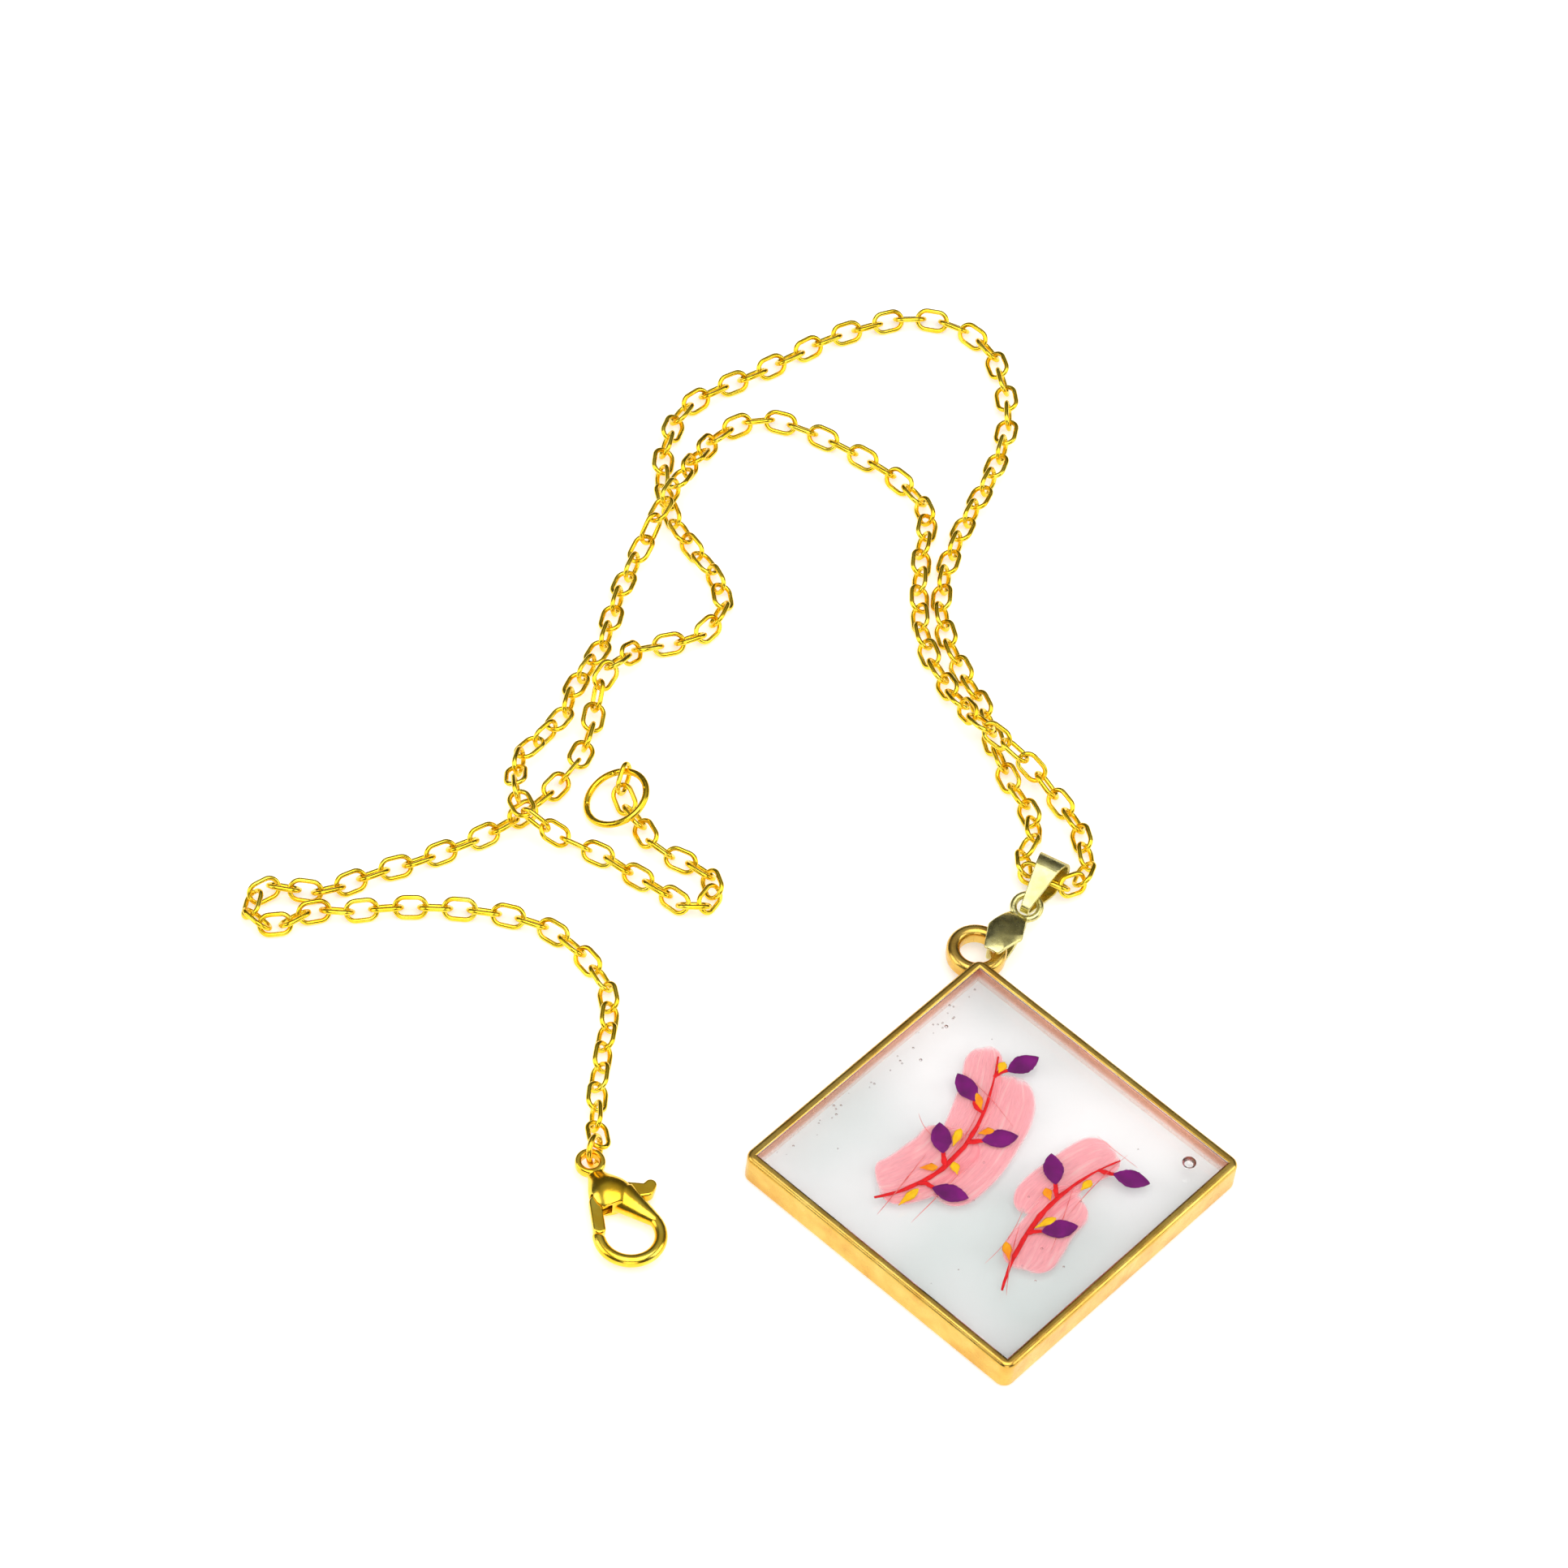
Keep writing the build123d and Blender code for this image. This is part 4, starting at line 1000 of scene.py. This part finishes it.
# Bubbles that show singly: place as shares of the half diagonal, and radius in millimetres
Bubble = namedtuple("Bubble", "x y radius")
BUBBLES = [
    Bubble(0.84, 0.02, 0.75), Bubble(-0.16, 0.70, 0.20), Bubble(-0.28, 0.52, 0.16),
    Bubble(-0.13, 0.74, 0.12), Bubble(0.36, -0.20, 0.10), Bubble(0.18, -0.44, 0.14),
]
SINGLE_DEPTH = 0.3
# Fine bubbles: how many, and the ranges of their radius and depth
FINE_BUBBLES = 46
FINE_RADIUS = (0.05, 0.13)
FINE_DEPTH = (0.15, 2.2)
BUBBLES_BY_WALL = 0.6
BUBBLE_FLATNESS = 0.7
BUBBLE_SEED = 31


def bubbles(material):
    """Air caught in the resin: a few clear bubbles, and fine ones mostly by the upper left wall."""
    draw = random.Random(BUBBLE_SEED)
    shape = bmesh.new()
    rows = [(bubble.x, bubble.y, bubble.radius, SINGLE_DEPTH) for bubble in BUBBLES]
    while len(rows) < len(BUBBLES) + FINE_BUBBLES:
        if draw.random() < BUBBLES_BY_WALL:
            along = draw.uniform(0.06, 0.94)
            off = draw.uniform(0.02, 0.06)
            x, y = -along + off, 1 - along - off
        else:
            x, y = draw.uniform(-0.9, 0.9), draw.uniform(-0.9, 0.9)
            if abs(x) + abs(y) > 0.92:
                continue
        rows.append((x, y, draw.uniform(*FINE_RADIUS), draw.uniform(*FINE_DEPTH)))
    for x, y, radius, depth in rows:
        z = BEZEL_HEIGHT - RESIN_DROP - depth - radius
        centre = Vector((x * HALF_DIAGONAL, y * HALF_DIAGONAL, z)) * MM
        turned = Matrix.Translation(centre) @ Matrix.Diagonal((1, 1, BUBBLE_FLATNESS, 1))
        bmesh.ops.create_icosphere(shape, subdivisions=2, radius=radius * MM, matrix=turned)
    closed_piece("air_bubbles", shape, material)


# The table, the lamps and the camera
TABLE_GLOW = 0.36
TABLE_SIZE = 6
TABLE_DROP = 0.00005


def floor():
    """A plain white light table, which leaves only faint shadows."""
    material, _, _, shader, _ = new_material("white_table")
    shader.inputs["Base Color"].default_value = (0.97, 0.97, 0.97, 1)
    shader.inputs["Roughness"].default_value = 0.9
    shader.inputs["Specular IOR Level"].default_value = 0
    shader.inputs["Emission Color"].default_value = (1, 1, 1, 1)
    shader.inputs["Emission Strength"].default_value = TABLE_GLOW
    bpy.ops.mesh.primitive_plane_add(size=TABLE_SIZE, location=(0, 0, -TABLE_DROP))
    table = bpy.context.object
    table.name = "table_top"
    table.data.materials.append(material)


Lamp = namedtuple("Lamp", "name place size power")
LAMPS = [
    Lamp("overhead_softbox", (0.0, -0.15, 0.75), 0.75, 3.7),
    Lamp("left_softbox", (-0.75, -0.05, 0.35), 0.55, 1.9),
    Lamp("right_softbox", (0.75, -0.10, 0.40), 0.55, 1.9),
    Lamp("front_softbox", (0.0, -0.85, 0.30), 0.5, 1.3),
]
# The room's grey, from the horizon up: the height of a direction and its brightness
ROOM = [(0.0, 0.03), (0.6, 0.1), (0.8, 0.33), (1.0, 0.45)]


def lighting():
    """Four soft lamps that aim at the middle, in a grey room."""
    for lamp in LAMPS:
        light = bpy.data.lights.new(lamp.name, "AREA")
        light.shape = "SQUARE"
        light.size = lamp.size
        light.energy = lamp.power
        holder = collected(bpy.data.objects.new(lamp.name, light))
        holder.location = lamp.place
        holder.rotation_euler = (-Vector(lamp.place)).to_track_quat("-Z", "Y").to_euler()
    world = bpy.data.worlds.new("studio")
    world.use_nodes = True
    nodes, links = world.node_tree.nodes, world.node_tree.links
    height = nodes.new("ShaderNodeSeparateXYZ")
    links.new(nodes.new("ShaderNodeTexCoord").outputs["Generated"], height.inputs["Vector"])
    grey = [(place, (tone, tone, tone)) for place, tone in (ROOM[0], ROOM[-1], *ROOM[1:-1])]
    links.new(ramp_of(nodes, links, height.outputs["Z"], grey), nodes["Background"].inputs["Color"])
    bpy.context.scene.world = world
    bpy.context.scene.view_settings.view_transform = "Standard"


# Where the photograph was taken from, in millimetres, fitted to the bezel's corners
CAMERA_PLACE = (-76.91, -357.36, 517.68)
CAMERA_RIGHT = (0.99583, -0.03837, 0.0828)
CAMERA_UP = (-0.0208, 0.78804, 0.61528)
CAMERA_LENS = 149.07
SENSOR = 36


def camera():
    """The photograph's own view."""
    lens = bpy.data.cameras.new("photo_camera")
    lens.lens = CAMERA_LENS
    lens.sensor_width = SENSOR
    lens.clip_start = 0.01
    view = collected(bpy.data.objects.new("photo_camera", lens))
    right, up = Vector(CAMERA_RIGHT), Vector(CAMERA_UP)
    turned = Matrix((right, up, right.cross(up))).transposed().to_4x4()
    view.matrix_world = Matrix.Translation(Vector(CAMERA_PLACE) * MM) @ turned
    bpy.context.scene.camera = view


def box_centre(node):
    """The middle of a solid's box, in millimetres."""
    low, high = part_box(node)
    return (Vector(low) + Vector(high)) / 2 / MM


def main():
    """Dresses the necklace, then sets the table, the lamps and the camera."""
    chain_gold = gold_plate(
        "chain_yellow_gold", (0.90, 0.56, 0.02), (0.96, 0.67, 0.035), (0.98, 0.77, 0.09),
        (0.16, 0.28), 2.5, 0.015,
    )
    clasp_gold = gold_plate(
        "clasp_yellow_gold", (0.95, 0.57, 0.03), (1.0, 0.66, 0.05), (1.0, 0.77, 0.11),
        (0.16, 0.26), 1.2, 0.01,
    )
    antique = gold_plate(
        "antique_pale_gold", (0.60, 0.53, 0.19), (0.72, 0.65, 0.26), (0.84, 0.78, 0.38),
        (0.2, 0.34), 1.5, 0.02,
    )
    places = link_places(fitted_joints())
    tree = link_tree()
    for name, node, part in (
        ("chain_links_ring_side", "chain_ring_side", places[:BAIL_JOINT]),
        ("chain_links_clasp_side", "chain_clasp_side", places[BAIL_JOINT:]),
    ):
        wire_piece(name, node, part, LINK_FORM, chain_gold, tree)
    lean = math.radians(END_RING_TILT)
    ring_place = standing(
        box_centre("end_ring"), (math.cos(lean), 0, math.sin(lean)), (-math.sin(lean), 0, math.cos(lean))
    )
    wire_piece("round_end_ring", "end_ring", [ring_place], END_RING_FORM, chain_gold, tree)
    stand = math.radians(CLASP_RING_TILT)
    turn = math.radians(CLASP_RING_TURN)
    ring_place = standing(
        box_centre("clasp_ring"), (math.cos(turn), math.sin(turn), 0),
        (math.sin(turn) * math.sin(stand), -math.cos(turn) * math.sin(stand), math.cos(stand)),
    )
    wire_piece("round_clasp_ring", "clasp_ring", [ring_place], CLASP_RING_FORM, clasp_gold, tree)
    polished("bezel_frame", "cast_bezel", bezel_gold())
    softened("pinch_clip", "folded_clip", antique, 0.06, 20, domed)
    softened("bail_loop", "teardrop_bail", antique, 0.055, 4)
    softened("clasp_body", "clasp_shell", clasp_gold, 0.07, 12)
    polished("clasp_pin", "clasp_rivet", clasp_gold)
    polished("clasp_lever", "clasp_gate", clasp_gold, LEVER_BODY)
    resin_block(cast_resin(), resin_back())
    leaves(paint("purple_enamel", (0.13, 0.0, 0.12), (0.22, 0.0, 0.20), 0.5))
    stems(paint("red_enamel", (0.74, 0.002, 0.006), (0.92, 0.01, 0.015), 1.2))
    hair_strokes(paint("thin_red_paint", (0.75, 0.10, 0.10), (0.90, 0.25, 0.24), 1.0))
    pink_washes(pink_wash())
    buds(
        paint("yellow_enamel", (1.0, 0.54, 0.0), (1.0, 0.68, 0.005), 1.0),
        paint("orange_enamel", (1.0, 0.30, 0.0), (1.0, 0.44, 0.005), 1.0),
    )
    bubbles(air_bubble())
    floor()
    lighting()
    camera()


main()
